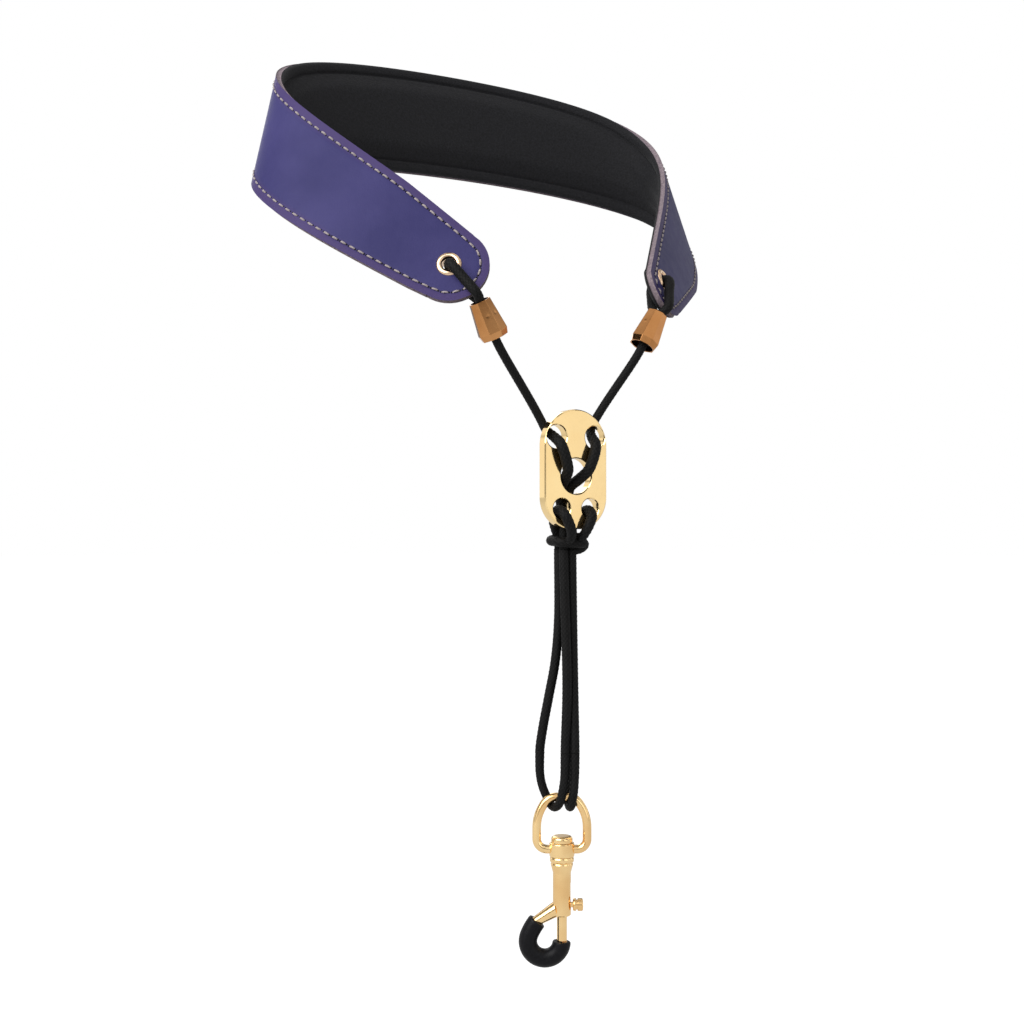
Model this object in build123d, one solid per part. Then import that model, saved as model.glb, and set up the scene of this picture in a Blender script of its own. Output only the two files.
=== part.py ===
from build123d import *
import os
from math import cos, pi, sin

os.makedirs("parts", exist_ok=True)

# Saxophone neck strap: a wide leather band for the neck, a braided cord on each
# side, a slider plate that sets the length, and a trigger snap hook.
# Millimetres, +Z up. The wearer faces -Y, so the nape lies at +Y and the plate's
# polished face looks along -Y. The origin is the centre of the slider plate.

# Neck band: a strip cut from a leaning egg-shaped tube.
TUBE_LEVEL = 100.0         # height at which the radii below hold
TUBE_CENTRE_Y = 51.1       # middle of the tube at that height
TUBE_LEAN = 0.274          # backward lean of the middle, per mm of height
TUBE_HALF_WIDTH = 97.7
TUBE_HALF_DEPTH = 60.25
WIDTH_TAPER = 0.195        # half width lost per mm of height
DEPTH_TAPER = 0.204        # half depth lost per mm of height
EGG = 0.5                  # how much wider the tube is towards the nape
EGG_TAPER = -0.00217
TUBE_LOW = 35.0            # the ruled tube is drawn between these two heights
TUBE_HIGH = 195.0

# Upper and lower edge of the band, seen from the side: height, slope and droop.
TOP_EDGE = (136.0, 0.864, 0.001912)
BOTTOM_EDGE = (96.4, 0.686, 0.000741)
TIP_SLOPE = 0.89           # slope of the band's middle line at its ends
# Round tongue at each end, from the eyelet: centre, radius, flare of its flanks in degrees
TONGUES = {"left": (0.4, 0.0, 15.6, 7.0), "right": (2.0, -2.4, 13.0, 12.0)}
FLANK = 50.0               # how far back the flanks are drawn

LEATHER = 2.2
LINING = 1.0
PAD = 2.8                  # foam height above the leather
PAD_END = 2.12             # tube angle at which the foam has run out
PAD_RUN_OUT = 0.35
LAYER_GAP = 0.05           # glue line between the layers
ANGLE_STEP = 0.098         # spacing of the band's cross lines
BAND_STEPS = 28            # the strip is drawn this far, then cut to its tongues
PAD_STEPS = 21
STITCH_STEPS = 21
STITCH_MARGIN = 3.4        # thread row inside the band's edges
THREAD = 0.8
SEAT = 0.25                # depth pressed into the band under each eyelet flange

# Eyelets. The band sits a few millimetres round the neck, so the two differ.
EYELETS = {"left": (-1, 2.229, 77.1), "right": (1, 2.353, 77.8)}
EYELET_RADIUS = 4.95
EYELET_BORE = 2.7
EYELET_TUBE = 3.2
EYELET_FLANGE = 0.6

# Cord and the faceted end bells that hide the knots.
CORD = 1.7                 # radius
BELL_REACH = 18.1          # eyelet to bell mouth, along the leather
BELL_SINK = 3.7            # mouth centre behind the leather's face
BELL_DROOP = {"left": 15.0, "right": 20.0}    # degrees below the tongue's middle line
BELL_AXIS = (-0.47, 0.03, -0.882)            # right-hand bell, mouth to foot
BELL_LENGTH = 15.0
BELL_SHOULDER = 12.6       # the bell is widest here
BELL_TOP_RADIUS = 4.3
BELL_WIDE_RADIUS = 6.0
BELL_FOOT_RADIUS = 5.3
BELL_SIDES = 8
BELL_BORE_TOP = 3.7
BELL_BORE_FOOT = 4.6
KNOT_RADIUS = 3.9
KNOT_DEPTH = 8.6           # knot centre below the bell's mouth

# Slider plate.
PLATE_WIDTH = 28.8
PLATE_HEIGHT = 47.0
PLATE_THICK = 4.5
PLATE_FOOT_RADIUS = 12.5
PLATE_BEVEL = 0.4
UPPER_HOLES = (8.9, 12.6, 4.6)     # half spacing, height, radius
CENTRE_HOLE = (0.0, -2.7, 7.0)
LOWER_HOLES = (6.6, -15.4, 3.9)

# Cord bundle behind the plate and the wrap knot round it.
BUNDLE_Y = 5.95
BUNDLE_HALF = (1.9, 1.85)
KNOT_Z = -28.0
WRAP_RADIUS = 6.25
LOBE_ANGLE = -55.0         # where the wrap knot's ends cross, degrees from +X
LOBE_HALF = 9.0
LOBE_REACH = 6.95
LOBE_RADIUS = 2.45
UPPER_SPLIT = (12.3, 4.1, 19.0)    # where the neck cords pass behind the plate
LOWER_SPLIT_Z = -31.5              # the lower strands start below the wrap knot
BIGHT_SPLIT_Z = -112.0             # and end above the ring

# Snap hook, in its own upright plane, turned on the bundle's axis.
HANG_ANGLE = -30.3
HANG_SHIFT = -1.3          # the ring hangs this far to one side of the bundle
BAR_Z = -129.9             # middle of the ring's top bar
WIRE = 1.75                # ring wire radius
BAR_HALF = 2.0             # straight part of the top bar
EYE_HALF_WIDTH = 10.0
EYE_SHOULDER = 12.5
EYE_ARM_Z = -150.6
EYE_CORNER = 4.1
COLLAR_TOP = -147.9
COLLAR_FOOT = -153.4
COLLAR_RADIUS = 5.0
SHANK = 2.3
SHANK_BORE = 2.35
RIVET_HEAD = 4.3
RIVET_TOP = -145.2
FLANGE_FOOT = -155.8
BARREL_TOP = -159.8
BARREL_FOOT = -176.8
BARREL = 3.6
BOLT = 2.0
BOLT_BORE = 2.05
BOLT_TOP = -169.8
BOLT_FOOT = -187.0
BORE_TOP = -160.4
KNOB_Z = -172.6
KNOB_STEM = 1.1
KNOB_HEAD = 2.5
BOLT_TRAVEL = 7.6
HOOK_WIRE = 2.2
SLEEVE = 3.65
BEND = (-6.8, -187.1, 6.7)   # centre and radius of the hook's bend


UP = (0, 0, 1)
DOWN = (0, 0, -1)


def write(name, shape):
    """Writes one sub-part as parts/NAME.step."""
    export_step(shape, f"parts/{name}.step")


# ---------------------------------------------------------------- neck band


def tube_point(angle, level):
    """Plan position on the leaning tube; angle 0 is the nape."""
    rise = level - TUBE_LEVEL
    egg = 1.0 + (EGG + EGG_TAPER * rise) * cos(angle)
    x = (TUBE_HALF_WIDTH - WIDTH_TAPER * rise) * egg * sin(angle)
    y = TUBE_CENTRE_Y + TUBE_LEAN * rise + (TUBE_HALF_DEPTH - DEPTH_TAPER * rise) * cos(angle)
    return x, y


def surface(angle, level):
    """Point on the ruled tube between its two drawn outlines."""
    low = tube_point(angle, TUBE_LOW)
    high = tube_point(angle, TUBE_HIGH)
    part = (level - TUBE_LOW) / (TUBE_HIGH - TUBE_LOW)
    return Vector(low[0] + (high[0] - low[0]) * part, low[1] + (high[1] - low[1]) * part, level)


def edge_level(edge, angle):
    """Height at which the band's edge crosses the tube at this angle."""
    level = TUBE_LEVEL
    for _ in range(30):
        back = surface(angle, level).Y - TUBE_CENTRE_Y
        level = level + 0.6 * (edge[0] + edge[1] * back - edge[2] * back * back - level)
    return level


def smooth(value):
    """Rises smoothly from 0 to 1."""
    value = min(1.0, max(0.0, value))
    return value * value * (3 - 2 * value)


def pad_height(angle):
    """Foam height: full at the nape, nothing near the eyelets."""
    return PAD * smooth((PAD_END - abs(angle)) / PAD_RUN_OUT)


def inward(angle, level):
    """Unit vector at right angles to the tube, towards the neck."""
    along = surface(angle + 0.001, level) - surface(angle - 0.001, level)
    up = surface(angle, level + 1) - surface(angle, level)
    return along.cross(up).normalized()


def ruling(angle, depth, margin):
    """Lower and upper end of the band's straight cross line at a depth."""
    low = surface(angle, edge_level(BOTTOM_EDGE, angle))
    high = surface(angle, edge_level(TOP_EDGE, angle))
    across = (high - low).normalized() * margin
    sink = inward(angle, (low.Z + high.Z) / 2) * depth
    return low + across + sink, high - across + sink


def layer(outside, inside, steps, margin=0.0):
    """One layer of the band, ruled along its length between two depths."""
    sections = []
    for i in range(-steps, steps + 1):
        angle = ANGLE_STEP * i
        outer = ruling(angle, outside(angle), margin)
        inner = ruling(angle, inside(angle), margin)
        sections.append(make_face(Polyline([outer[0], outer[1], inner[1], inner[0], outer[0]])))
    return loft(sections, ruled=True)


def eyelet_plane(side):
    """Tangent plane at an eyelet: x towards the tip, z out of the leather."""
    sign, angle, level = EYELETS[side]
    point = surface(angle, level)
    along = surface(angle + 0.001, level) - surface(angle - 0.001, level)
    up = surface(angle, level + 0.1) - surface(angle, level - 0.1)
    rise = TIP_SLOPE * along.Y / (up.Z - TIP_SLOPE * up.Y)
    towards_tip = (along + up * rise).normalized()
    out = up.cross(along).normalized()
    if out.X < 0:
        out = out * -1

    def mirrored(v):
        return Vector(v.X * sign, v.Y, v.Z)

    return Plane(origin=mirrored(point), x_dir=mirrored(towards_tip), z_dir=mirrored(out))


def tip_cutter(side, margin):
    """Everything past the rounded, slightly tapered tongue at one end."""
    plane = eyelet_plane(side)
    upwards = 1 if plane.y_dir.Z > 0 else -1
    centre_x, centre_y, radius, flare = TONGUES[side]
    radius = radius - margin
    turn = flare * pi / 180
    touch = (radius * sin(turn), radius * cos(turn))
    back = (touch[0] - 2 * FLANK * cos(turn), touch[1] + 2 * FLANK * sin(turn))
    corners = [touch, back, (back[0], -back[1]), (touch[0], -touch[1]), touch]
    tongue = make_face(Polyline(corners)) + Circle(radius)
    past = Pos(10, 0) * Rectangle(2 * FLANK + 20, 2 * FLANK + 20)
    cut = past - Pos(centre_x, upwards * centre_y) * tongue
    return extrude(plane * cut, amount=22, both=True)


def trimmed(strip, margin):
    """The strip with a round tongue at each end."""
    for side in EYELETS:
        strip = strip - tip_cutter(side, margin)
    return max(strip.solids(), key=lambda piece: piece.volume)


def disc(plane, radius, low, high):
    """Cylinder on a plane's normal between two heights."""
    return extrude(plane.offset(low) * Circle(radius), amount=high - low)


def make_band():
    def leather_back(angle):
        return LEATHER

    def foam_front(angle):
        return LEATHER + LAYER_GAP

    def foam_back(angle):
        return LEATHER + LAYER_GAP + pad_height(angle)

    def lining_front(angle):
        return LEATHER + 2 * LAYER_GAP + pad_height(angle)

    def lining_back(angle):
        return lining_front(angle) + LINING

    leather = trimmed(layer(lambda angle: 0.0, leather_back, BAND_STEPS), 0)
    lining = trimmed(layer(lining_front, lining_back, BAND_STEPS, 0.6), 0.6)
    foam = trimmed(layer(foam_front, foam_back, PAD_STEPS, 1.5), 1.5)
    for side in EYELETS:
        plane = eyelet_plane(side)
        bore = disc(plane, EYELET_TUBE + 0.02, -15, 10)
        front_seat = disc(plane, EYELET_RADIUS + 0.15, -SEAT, 5)
        back_seat = disc(plane, EYELET_RADIUS + 0.15, -12, -LEATHER - 2 * LAYER_GAP - LINING + SEAT)
        leather = leather - bore - front_seat
        lining = lining - bore - back_seat
    write("outer_leather", leather)
    write("lining", lining)
    write("foam_pad", foam)


def make_eyelets():
    back = -(LEATHER + 2 * LAYER_GAP + LINING) + SEAT
    for side in EYELETS:
        plane = eyelet_plane(side)
        flange = disc(plane, EYELET_RADIUS, -SEAT, EYELET_FLANGE)
        rim = flange.edges().group_by(Axis(plane.origin, plane.z_dir))[-1]
        flange = fillet(rim, 0.45)
        barrel = disc(plane, EYELET_TUBE, back - 0.95, 0)
        lip = disc(plane, EYELET_TUBE + 0.5, back - 0.95, back - 0.65)
        eyelet = flange + barrel + lip - disc(plane, EYELET_BORE, -12, 5)
        washer = disc(plane, EYELET_RADIUS, back - 0.62, back - 0.02)
        washer = washer - disc(plane, EYELET_TUBE + 0.02, -12, 5)
        write(f"{side}_eyelet", eyelet)
        write(f"{side}_eyelet_washer", washer)


def between(before, start, end, after, part):
    """Point part of the way from start to end on a centripetal Catmull-Rom curve."""
    t0 = 0.0
    t1 = t0 + (start - before).length ** 0.5
    t2 = t1 + (end - start).length ** 0.5
    t3 = t2 + (after - end).length ** 0.5
    t = t1 + (t2 - t1) * part

    def mix(a, b, low, high):
        return (a * (high - t) + b * (t - low)) / (high - low)

    first = mix(before, start, t0, t1)
    middle = mix(start, end, t1, t2)
    last = mix(end, after, t2, t3)
    return mix(mix(first, middle, t0, t2), mix(middle, last, t1, t3), t1, t2)


def smooth_path(points, start_way, end_way, spacing=CORD):
    """Evenly stepped smooth curve through the points, leaving in the given directions."""
    points = [Vector(*point) for point in points]
    before = points[0] - start_way * (points[1] - points[0]).length
    after = points[-1] + end_way * (points[-1] - points[-2]).length
    line = [before, *points, after]
    fine = []
    for i in range(1, len(line) - 2):
        for j in range(24):
            fine.append(between(*line[i - 1 : i + 3], j / 24))
    fine.append(points[-1])
    travelled = [0.0]
    for first, second in zip(fine, fine[1:]):
        travelled.append(travelled[-1] + (second - first).length)
    steps = max(3, round(travelled[-1] / spacing))
    even = []
    index = 0
    for k in range(steps + 1):
        target = travelled[-1] * k / steps
        while index < len(fine) - 2 and travelled[index + 1] < target:
            index = index + 1
        part = (target - travelled[index]) / (travelled[index + 1] - travelled[index])
        even.append(fine[index] + (fine[index + 1] - fine[index]) * part)
    return even


def strand(points, start_way, end_way):
    """Round cord along a smooth line through the points."""
    start_way = Vector(*start_way).normalized()
    end_way = Vector(*end_way).normalized()
    line = smooth_path(points, start_way, end_way)
    side = start_way.cross(Vector(0.3, 1, 0.1)).normalized()
    rings = []
    for i, point in enumerate(line):
        way = (line[min(i + 1, len(line) - 1)] - line[max(i - 1, 0)]).normalized()
        if i == 0:
            way = start_way
        if i == len(line) - 1:
            way = end_way
        side = (side - way * side.dot(way)).normalized()
        rings.append(Plane(origin=point, x_dir=side, z_dir=way) * Circle(CORD))
    return loft(rings)


def make_stitching():
    """The two long rows of thread, lying on the leather inside its edges."""
    rows = []
    for edge, inwards in ((BOTTOM_EDGE, 1), (TOP_EDGE, -1)):
        sections = []
        for i in range(-STITCH_STEPS, STITCH_STEPS + 1):
            angle = ANGLE_STEP * i
            corners = []
            for depth, offset in ((-0.05, 0), (-0.05, 1), (-0.55, 1), (-0.55, 0)):
                low, high = ruling(angle, depth, STITCH_MARGIN + offset * THREAD)
                corners.append(low if inwards > 0 else high)
            sections.append(make_face(Polyline([*corners, corners[0]])))
        rows.append(trimmed(loft(sections, ruled=True), STITCH_MARGIN))
    return Compound(rows)


# ---------------------------------------------------------------- bells, loops


def bell_plane(side):
    """Plane at the bell's small mouth, z down the bell, x out of the leather."""
    sign = EYELETS[side][0]
    tip = eyelet_plane(side)
    upwards = tip.y_dir if tip.y_dir.Z > 0 else tip.y_dir * -1
    droop = BELL_DROOP[side] * pi / 180
    along = tip.x_dir * cos(droop) - upwards * sin(droop)
    mouth = tip.origin + along * BELL_REACH - tip.z_dir * BELL_SINK
    axis = Vector(BELL_AXIS[0] * sign, BELL_AXIS[1], BELL_AXIS[2]).normalized()
    across = (tip.z_dir - axis * tip.z_dir.dot(axis)).normalized()
    return Plane(origin=mouth, x_dir=across, z_dir=axis)


def split_run(side):
    """Point and direction at which the neck cord reaches the slider plate."""
    sign = EYELETS[side][0]
    point = Vector(sign * UPPER_SPLIT[0], UPPER_SPLIT[1], UPPER_SPLIT[2])
    return point, Vector(-0.48 * sign, 0, -0.877)


def octagon(plane, depth, radius):
    turned = Rot(0, 0, 180 / BELL_SIDES)
    return plane.offset(depth) * (turned * RegularPolygon(radius, BELL_SIDES))


def make_bell(side):
    plane = bell_plane(side)
    upper = loft([octagon(plane, 0, BELL_TOP_RADIUS), octagon(plane, BELL_SHOULDER, BELL_WIDE_RADIUS)])
    foot = loft(
        [octagon(plane, BELL_SHOULDER, BELL_WIDE_RADIUS), octagon(plane, BELL_LENGTH, BELL_FOOT_RADIUS)]
    )
    cavity = loft(
        [plane.offset(1.6) * Circle(BELL_BORE_TOP), plane.offset(6.0) * Circle(BELL_BORE_FOOT)]
    )
    bore = disc(plane, BELL_BORE_TOP, -1, 1.6) + cavity + disc(plane, BELL_BORE_FOOT, 6.0, BELL_LENGTH + 1)
    write(f"{side}_bell", upper + foot - bore)


def make_knot(side):
    """Stopper knot that fills the bell, joining the loop to the neck cord."""
    plane = bell_plane(side)
    return Pos(plane.origin + plane.z_dir * KNOT_DEPTH) * Sphere(KNOT_RADIUS)


def make_loop(side, knot):
    """Cord that runs over the leather, through the eyelet and back inside."""
    eyelet = eyelet_plane(side)
    bell = bell_plane(side)
    half = CORD + 0.03
    middle = bell.origin - eyelet.origin
    along = (middle - eyelet.z_dir * middle.dot(eyelet.z_dir)).normalized()
    reach = middle.dot(along)

    def at(distance, out):
        return eyelet.origin + along * distance + eyelet.z_dir * out

    def in_bell(depth, sign):
        return bell.origin + bell.z_dir * depth + bell.x_dir * half * sign

    bend = 3.1
    front = EYELET_FLANGE + CORD + 0.15
    back = -(LEATHER + 2 * LAYER_GAP + LINING - SEAT + 0.95 + CORD + 0.15)
    slant = 0.29 * bend
    points = [
        in_bell(5.0, 1),
        in_bell(2.0, 1),
        in_bell(-0.2, 1),
        at(reach - 0.2, 0.2),
        at(reach - 1.4, 1.5),
        at(reach - 4.0, 1.95),
        at(reach * 0.45, 2.2),
        at(bend, front),
        at(slant, front - slant),
        at(0, front - bend),
        at(0, back + bend),
        at(slant, back + slant),
        at(bend, back),
        at(reach * 0.45, back),
        at(reach - 4.4, back + 0.15),
        in_bell(-0.2, -1),
        in_bell(2.0, -1),
        in_bell(5.0, -1),
    ]
    write(f"{side}_cord_loop", strand(points, bell.z_dir * -1, bell.z_dir) - knot)


def make_neck_cord(side, knot):
    """Cord from the knot to the back of the slider plate."""
    bell = bell_plane(side)
    start = bell.origin + bell.z_dir * KNOT_DEPTH
    foot, direction = split_run(side)
    leave = bell.origin + bell.z_dir * (BELL_LENGTH + 3)
    write(f"{side}_upper_cord", strand([start, leave, foot], bell.z_dir, direction) - knot)


# ---------------------------------------------------------------- slider


def plate_outline(grow):
    """Plate outline, round at the head, grown or shrunk all round."""
    half = PLATE_WIDTH / 2 + grow
    head_z = PLATE_HEIGHT / 2 - PLATE_WIDTH / 2
    foot_z = -PLATE_HEIGHT / 2 - grow
    corner = PLATE_FOOT_RADIUS + grow
    side_z = foot_z + corner
    diagonal = corner * 0.7071
    inner = half - corner
    right = Line((half, side_z), (half, head_z))
    head = ThreePointArc((half, head_z), (0, head_z + half), (-half, head_z))
    left = Line((-half, head_z), (-half, side_z))
    first = ThreePointArc((-half, side_z), (-inner - diagonal, side_z - diagonal), (-inner, foot_z))
    foot = Line((-inner, foot_z), (inner, foot_z))
    second = ThreePointArc((inner, foot_z), (inner + diagonal, side_z - diagonal), (half, side_z))
    return make_face([right, head, left, first, foot, second])


def make_plate():
    flat = PLATE_THICK / 2 - PLATE_BEVEL
    plate = extrude(Plane.XZ * plate_outline(0), amount=flat, both=True)
    for sign in (-1, 1):
        low = Plane.XZ.offset(sign * flat) * plate_outline(0)
        high = Plane.XZ.offset(sign * PLATE_THICK / 2) * plate_outline(-PLATE_BEVEL)
        plate = plate + loft([low, high])
    for reach, height, radius in (UPPER_HOLES, CENTRE_HOLE, LOWER_HOLES):
        for sign in (-1, 1) if reach else (1,):
            hole = Cylinder(radius, 2 * PLATE_THICK)
            for turn in (0, 180):
                sink = Cone(radius, radius + PLATE_BEVEL, PLATE_BEVEL)
                hole = hole + Rot(turn, 0, 0) * Pos(0, 0, flat + PLATE_BEVEL / 2) * sink
            plate = plate - Pos(sign * reach, 0, height) * Rot(90, 0, 0) * hole
    write("slider_plate", plate)


def make_plate_cord(side, sign):
    """Behind the plate, out through the upper hole, back in through the centre."""
    x, y, z = UPPER_SPLIT
    # the right-hand strand crosses under the other inside the centre hole
    inner = (-4.0, -3.5, -3.3) if sign < 0 else (2.6, 0.5, 0.2)
    points = [
        (sign * x, y, z),
        (sign * 10.4, 3.4, 15.4),
        (sign * 8.9, 0, 12.6),
        (sign * 8.2, -3.3, 10.0),
        (sign * 7.4, -4.15, 7.2),
        (sign * 5.9, -4.15, 2.8),
        (sign * 4.9, -3.3, -0.5),
        (inner[0], 0, -3.9),
        (inner[1], 3.3, -7.0),
        (inner[2], y + 0.05, -10.8),
        (sign * BUNDLE_HALF[0], y, -20.0),
        (sign * BUNDLE_HALF[0], y, LOWER_SPLIT_Z),
    ]
    write(f"{side}_plate_cord", strand(points, split_run(side)[1], DOWN))


def make_tail_cord(side, sign, knot):
    """From the bundle through the lower hole and over the plate's foot to the knot."""
    rear = BUNDLE_Y + BUNDLE_HALF[1]
    points = [
        (sign * BUNDLE_HALF[0], rear, LOWER_SPLIT_Z),
        (sign * 2.0, rear, -27.0),
        (sign * 3.5, 7.4, -23.5),
        (sign * 5.3, 5.8, -20.8),
        (sign * 6.2, 4.2, -18.9),
        (sign * 6.6, 2.2, -16.6),
        (sign * 6.6, 0, -16.1),
        (sign * 6.5, -2.2, -16.6),
        (sign * 6.1, -3.9, -18.4),
        (sign * 5.0, -4.25, -20.8),
        (sign * 3.4, -3.95, -24.2),
        (sign * 2.6, -2.6, -26.6),
        (sign * 2.3, -0.6, -28.0),
    ]
    write(f"{side}_tail_cord", strand(points, UP, (0, 0.9, -0.4)) - knot)


def wrap_knot():
    """Single turn round the bundle; its ends cross under a lobe at the front."""
    points = []
    for i in range(13):
        angle = (LOBE_ANGLE + LOBE_HALF + (360 - 2 * LOBE_HALF) * i / 12) * pi / 180
        points.append((WRAP_RADIUS * cos(angle), BUNDLE_Y + WRAP_RADIUS * sin(angle), KNOT_Z))
    start = (LOBE_ANGLE + LOBE_HALF) * pi / 180
    end = (LOBE_ANGLE - LOBE_HALF) * pi / 180
    turn = strand(points, (-sin(start), cos(start), 0), (-sin(end), cos(end), 0))
    middle = LOBE_ANGLE * pi / 180
    lobe = Pos(LOBE_REACH * cos(middle), BUNDLE_Y + LOBE_REACH * sin(middle), KNOT_Z - 0.3)
    return turn + lobe * Sphere(LOBE_RADIUS)


# ---------------------------------------------------------------- strands, hook


def hang(shape):
    """Turns the snap hook's own plane and puts it on the bundle's axis."""
    return Pos(0, BUNDLE_Y, 0) * Rot(0, 0, HANG_ANGLE) * Pos(HANG_SHIFT, 0, 0) * shape


def in_hook_frame(x, y):
    """Plan position of a bundle strand in the hook's own plane."""
    turn = -HANG_ANGLE * pi / 180
    return x * cos(turn) - y * sin(turn) - HANG_SHIFT, x * sin(turn) + y * cos(turn)


# Foot of each lower strand in the hook's plane, and how far it bows on the way.
STRANDS = {
    "left_front_strand": ((-1, -1), (1.2, -3.7), [(1.9, -3.4, -86.0)]),
    "right_front_strand": ((1, -1), (5.0, -3.5), [(4.6, -0.9, -84.0)]),
    "left_rear_strand": (
        (-1, 1),
        (-8.7, 4.0),
        [(-1.3, 0.8, -60.0), (-2.6, 1.2, -76.0), (-5.3, 2.2, -91.0), (-7.5, 3.3, -103.0)],
    ),
    "right_rear_strand": ((1, 1), (2.4, 3.6), [(2.7, 3.2, -86.0)]),
}

# Each bight in the hook's plane, front to rear: offset along the bar, depth, height over the bar.
BIGHTS = {
    "left": [
        (0.9, -3.9, 8.0),
        (0.1, -3.9, 2.5),
        (-0.7, -3.5, -1.0),
        (-1.8, -2.2, -3.1),
        (-3.1, 0.2, -4.05),
        (-4.4, 2.7, -3.4),
        (-5.8, 4.1, -0.9),
        (-7.6, 4.5, 3.4),
        (-8.6, 4.3, 8.5),
    ],
    "right": [
        (4.9, -3.8, 8.0),
        (4.5, -4.0, 2.5),
        (4.05, -3.8, -0.3),
        (3.6, -2.8, -2.8),
        (3.1, -0.1, -3.95),
        (2.65, 2.65, -2.9),
        (2.4, 3.75, -0.4),
        (2.3, 3.9, 5.0),
    ],
}


def make_strands():
    for name, (place, foot, bow) in STRANDS.items():
        top = in_hook_frame(place[0] * BUNDLE_HALF[0], place[1] * BUNDLE_HALF[1])
        points = [(*top, LOWER_SPLIT_Z), *bow, (*foot, BIGHT_SPLIT_Z)]
        write(name, hang(strand(points, DOWN, DOWN)))


def make_bights():
    """The two turns of cord that carry the ring's top bar."""
    for side, run in BIGHTS.items():
        front = STRANDS[f"{side}_front_strand"][1]
        rear = STRANDS[f"{side}_rear_strand"][1]
        points = [(*front, BIGHT_SPLIT_Z)]
        points += [(x, y, BAR_Z + rise) for x, y, rise in run]
        points += [(*rear, BIGHT_SPLIT_Z)]
        write(f"{side}_bight", hang(strand(points, DOWN, UP)))


def eye_half(sign):
    """Centre line of one side of the stirrup-shaped eye, from bar to collar."""
    shoulder_z = BAR_Z - EYE_SHOULDER
    bar = Line((0, 0, BAR_Z), (sign * BAR_HALF, 0, BAR_Z))
    width = EYE_HALF_WIDTH - BAR_HALF
    shoulder = Spline(
        [
            (sign * BAR_HALF, 0, BAR_Z),
            (sign * (BAR_HALF + width * 0.707), 0, BAR_Z - EYE_SHOULDER * 0.293),
            (sign * EYE_HALF_WIDTH, 0, shoulder_z),
        ],
        tangents=[(sign, 0, 0), (0, 0, -1)],
    )
    leg = Line((sign * EYE_HALF_WIDTH, 0, shoulder_z), (sign * EYE_HALF_WIDTH, 0, EYE_ARM_Z + EYE_CORNER))
    corner = TangentArc(
        (sign * EYE_HALF_WIDTH, 0, EYE_ARM_Z + EYE_CORNER),
        (sign * (EYE_HALF_WIDTH - EYE_CORNER), 0, EYE_ARM_Z),
        tangent=(0, 0, -1),
    )
    arm = Line((sign * (EYE_HALF_WIDTH - EYE_CORNER), 0, EYE_ARM_Z), (sign * 3.4, 0, EYE_ARM_Z))
    return Wire([bar, shoulder, leg, corner, arm])


def ring_solid(radius, low, high):
    return Pos(0, 0, (low + high) / 2) * Cylinder(radius, high - low)


def make_eye():
    eye = ring_solid(COLLAR_RADIUS, COLLAR_FOOT, COLLAR_TOP)
    eye = fillet(eye.edges(), 0.5)
    for sign in (-1, 1):
        path = eye_half(sign)
        eye = eye + sweep(Plane(origin=path @ 0, z_dir=path % 0) * Circle(WIRE), path=path)
    eye = eye - ring_solid(SHANK_BORE, COLLAR_FOOT - 3, COLLAR_TOP + 3)
    write("swivel_eye", hang(eye))


def make_rivet():
    head = ring_solid(RIVET_HEAD, COLLAR_TOP + 0.1, RIVET_TOP)
    head = fillet(head.edges().group_by(Axis.Z)[-1], 1.4)
    shank = ring_solid(SHANK, BARREL_TOP + 0.9, COLLAR_TOP + 0.2)
    write("swivel_rivet", hang(head + shank))


def bend_point(angle):
    x, z, radius = BEND
    return Vector(x + radius * cos(angle), 0, z + radius * sin(angle))


def hook_paths():
    """Centre line of the hook: arm from the barrel, then the bend to the tip."""
    join = bend_point(155 * pi / 180)
    sleeve_top = Vector(-9.75, 0, -179.0)
    root = Vector(-2.6, 0, -174.4)
    tip = bend_point(0)
    bend = ThreePointArc(join, bend_point(-pi / 2), tip)
    neck = TangentArc(join, sleeve_top, tangent=(bend % 0) * -1)
    arm = TangentArc(sleeve_top, root, tangent=neck % 1)
    return bend, neck, arm


def tube_along(path, radius):
    return sweep(Plane(origin=path @ 0, z_dir=path % 0) * Circle(radius), path=path)


def make_hook():
    bend, neck, arm = hook_paths()
    profile = Polyline(
        [
            (0, COLLAR_FOOT - 0.1),
            (4.6, COLLAR_FOOT - 0.1),
            (4.8, COLLAR_FOOT - 0.7),
            (4.8, FLANGE_FOOT + 0.6),
            (4.3, FLANGE_FOOT),
            (4.5, FLANGE_FOOT - 0.6),
            (BARREL, BARREL_TOP),
            (BARREL, BARREL_FOOT + 0.4),
            (BARREL - 0.4, BARREL_FOOT),
            (0, BARREL_FOOT),
            (0, COLLAR_FOOT - 0.1),
        ]
    )
    body = revolve(Plane.XZ * make_face(profile), axis=Axis.Z)
    wire = tube_along(bend, HOOK_WIRE) + tube_along(neck, HOOK_WIRE)
    root = loft(
        [
            Plane(origin=arm @ 0, z_dir=arm % 0) * Circle(HOOK_WIRE),
            Plane(origin=arm @ 1, z_dir=arm % 1) * Ellipse(3.1, 3.1),
        ]
    )
    body = body + root + wire
    body = body - ring_solid(BOLT_BORE, BARREL_FOOT - 4, BORE_TOP)
    body = body - ring_solid(SHANK, BARREL_TOP + 0.9, COLLAR_FOOT + 1)
    slot = Pos(3, 0, KNOB_Z + BOLT_TRAVEL / 2) * Box(6, 2 * KNOB_STEM + 0.2, BOLT_TRAVEL + 2 * KNOB_STEM + 0.4)
    body = body - slot
    write("hook_body", hang(max(body.solids(), key=lambda piece: piece.volume)))
    sleeve = tube_along(bend, SLEEVE) + tube_along(neck, SLEEVE)
    sleeve = sleeve - tube_along(bend, HOOK_WIRE) - tube_along(neck, HOOK_WIRE)
    write("rubber_sleeve", hang(sleeve))


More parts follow.
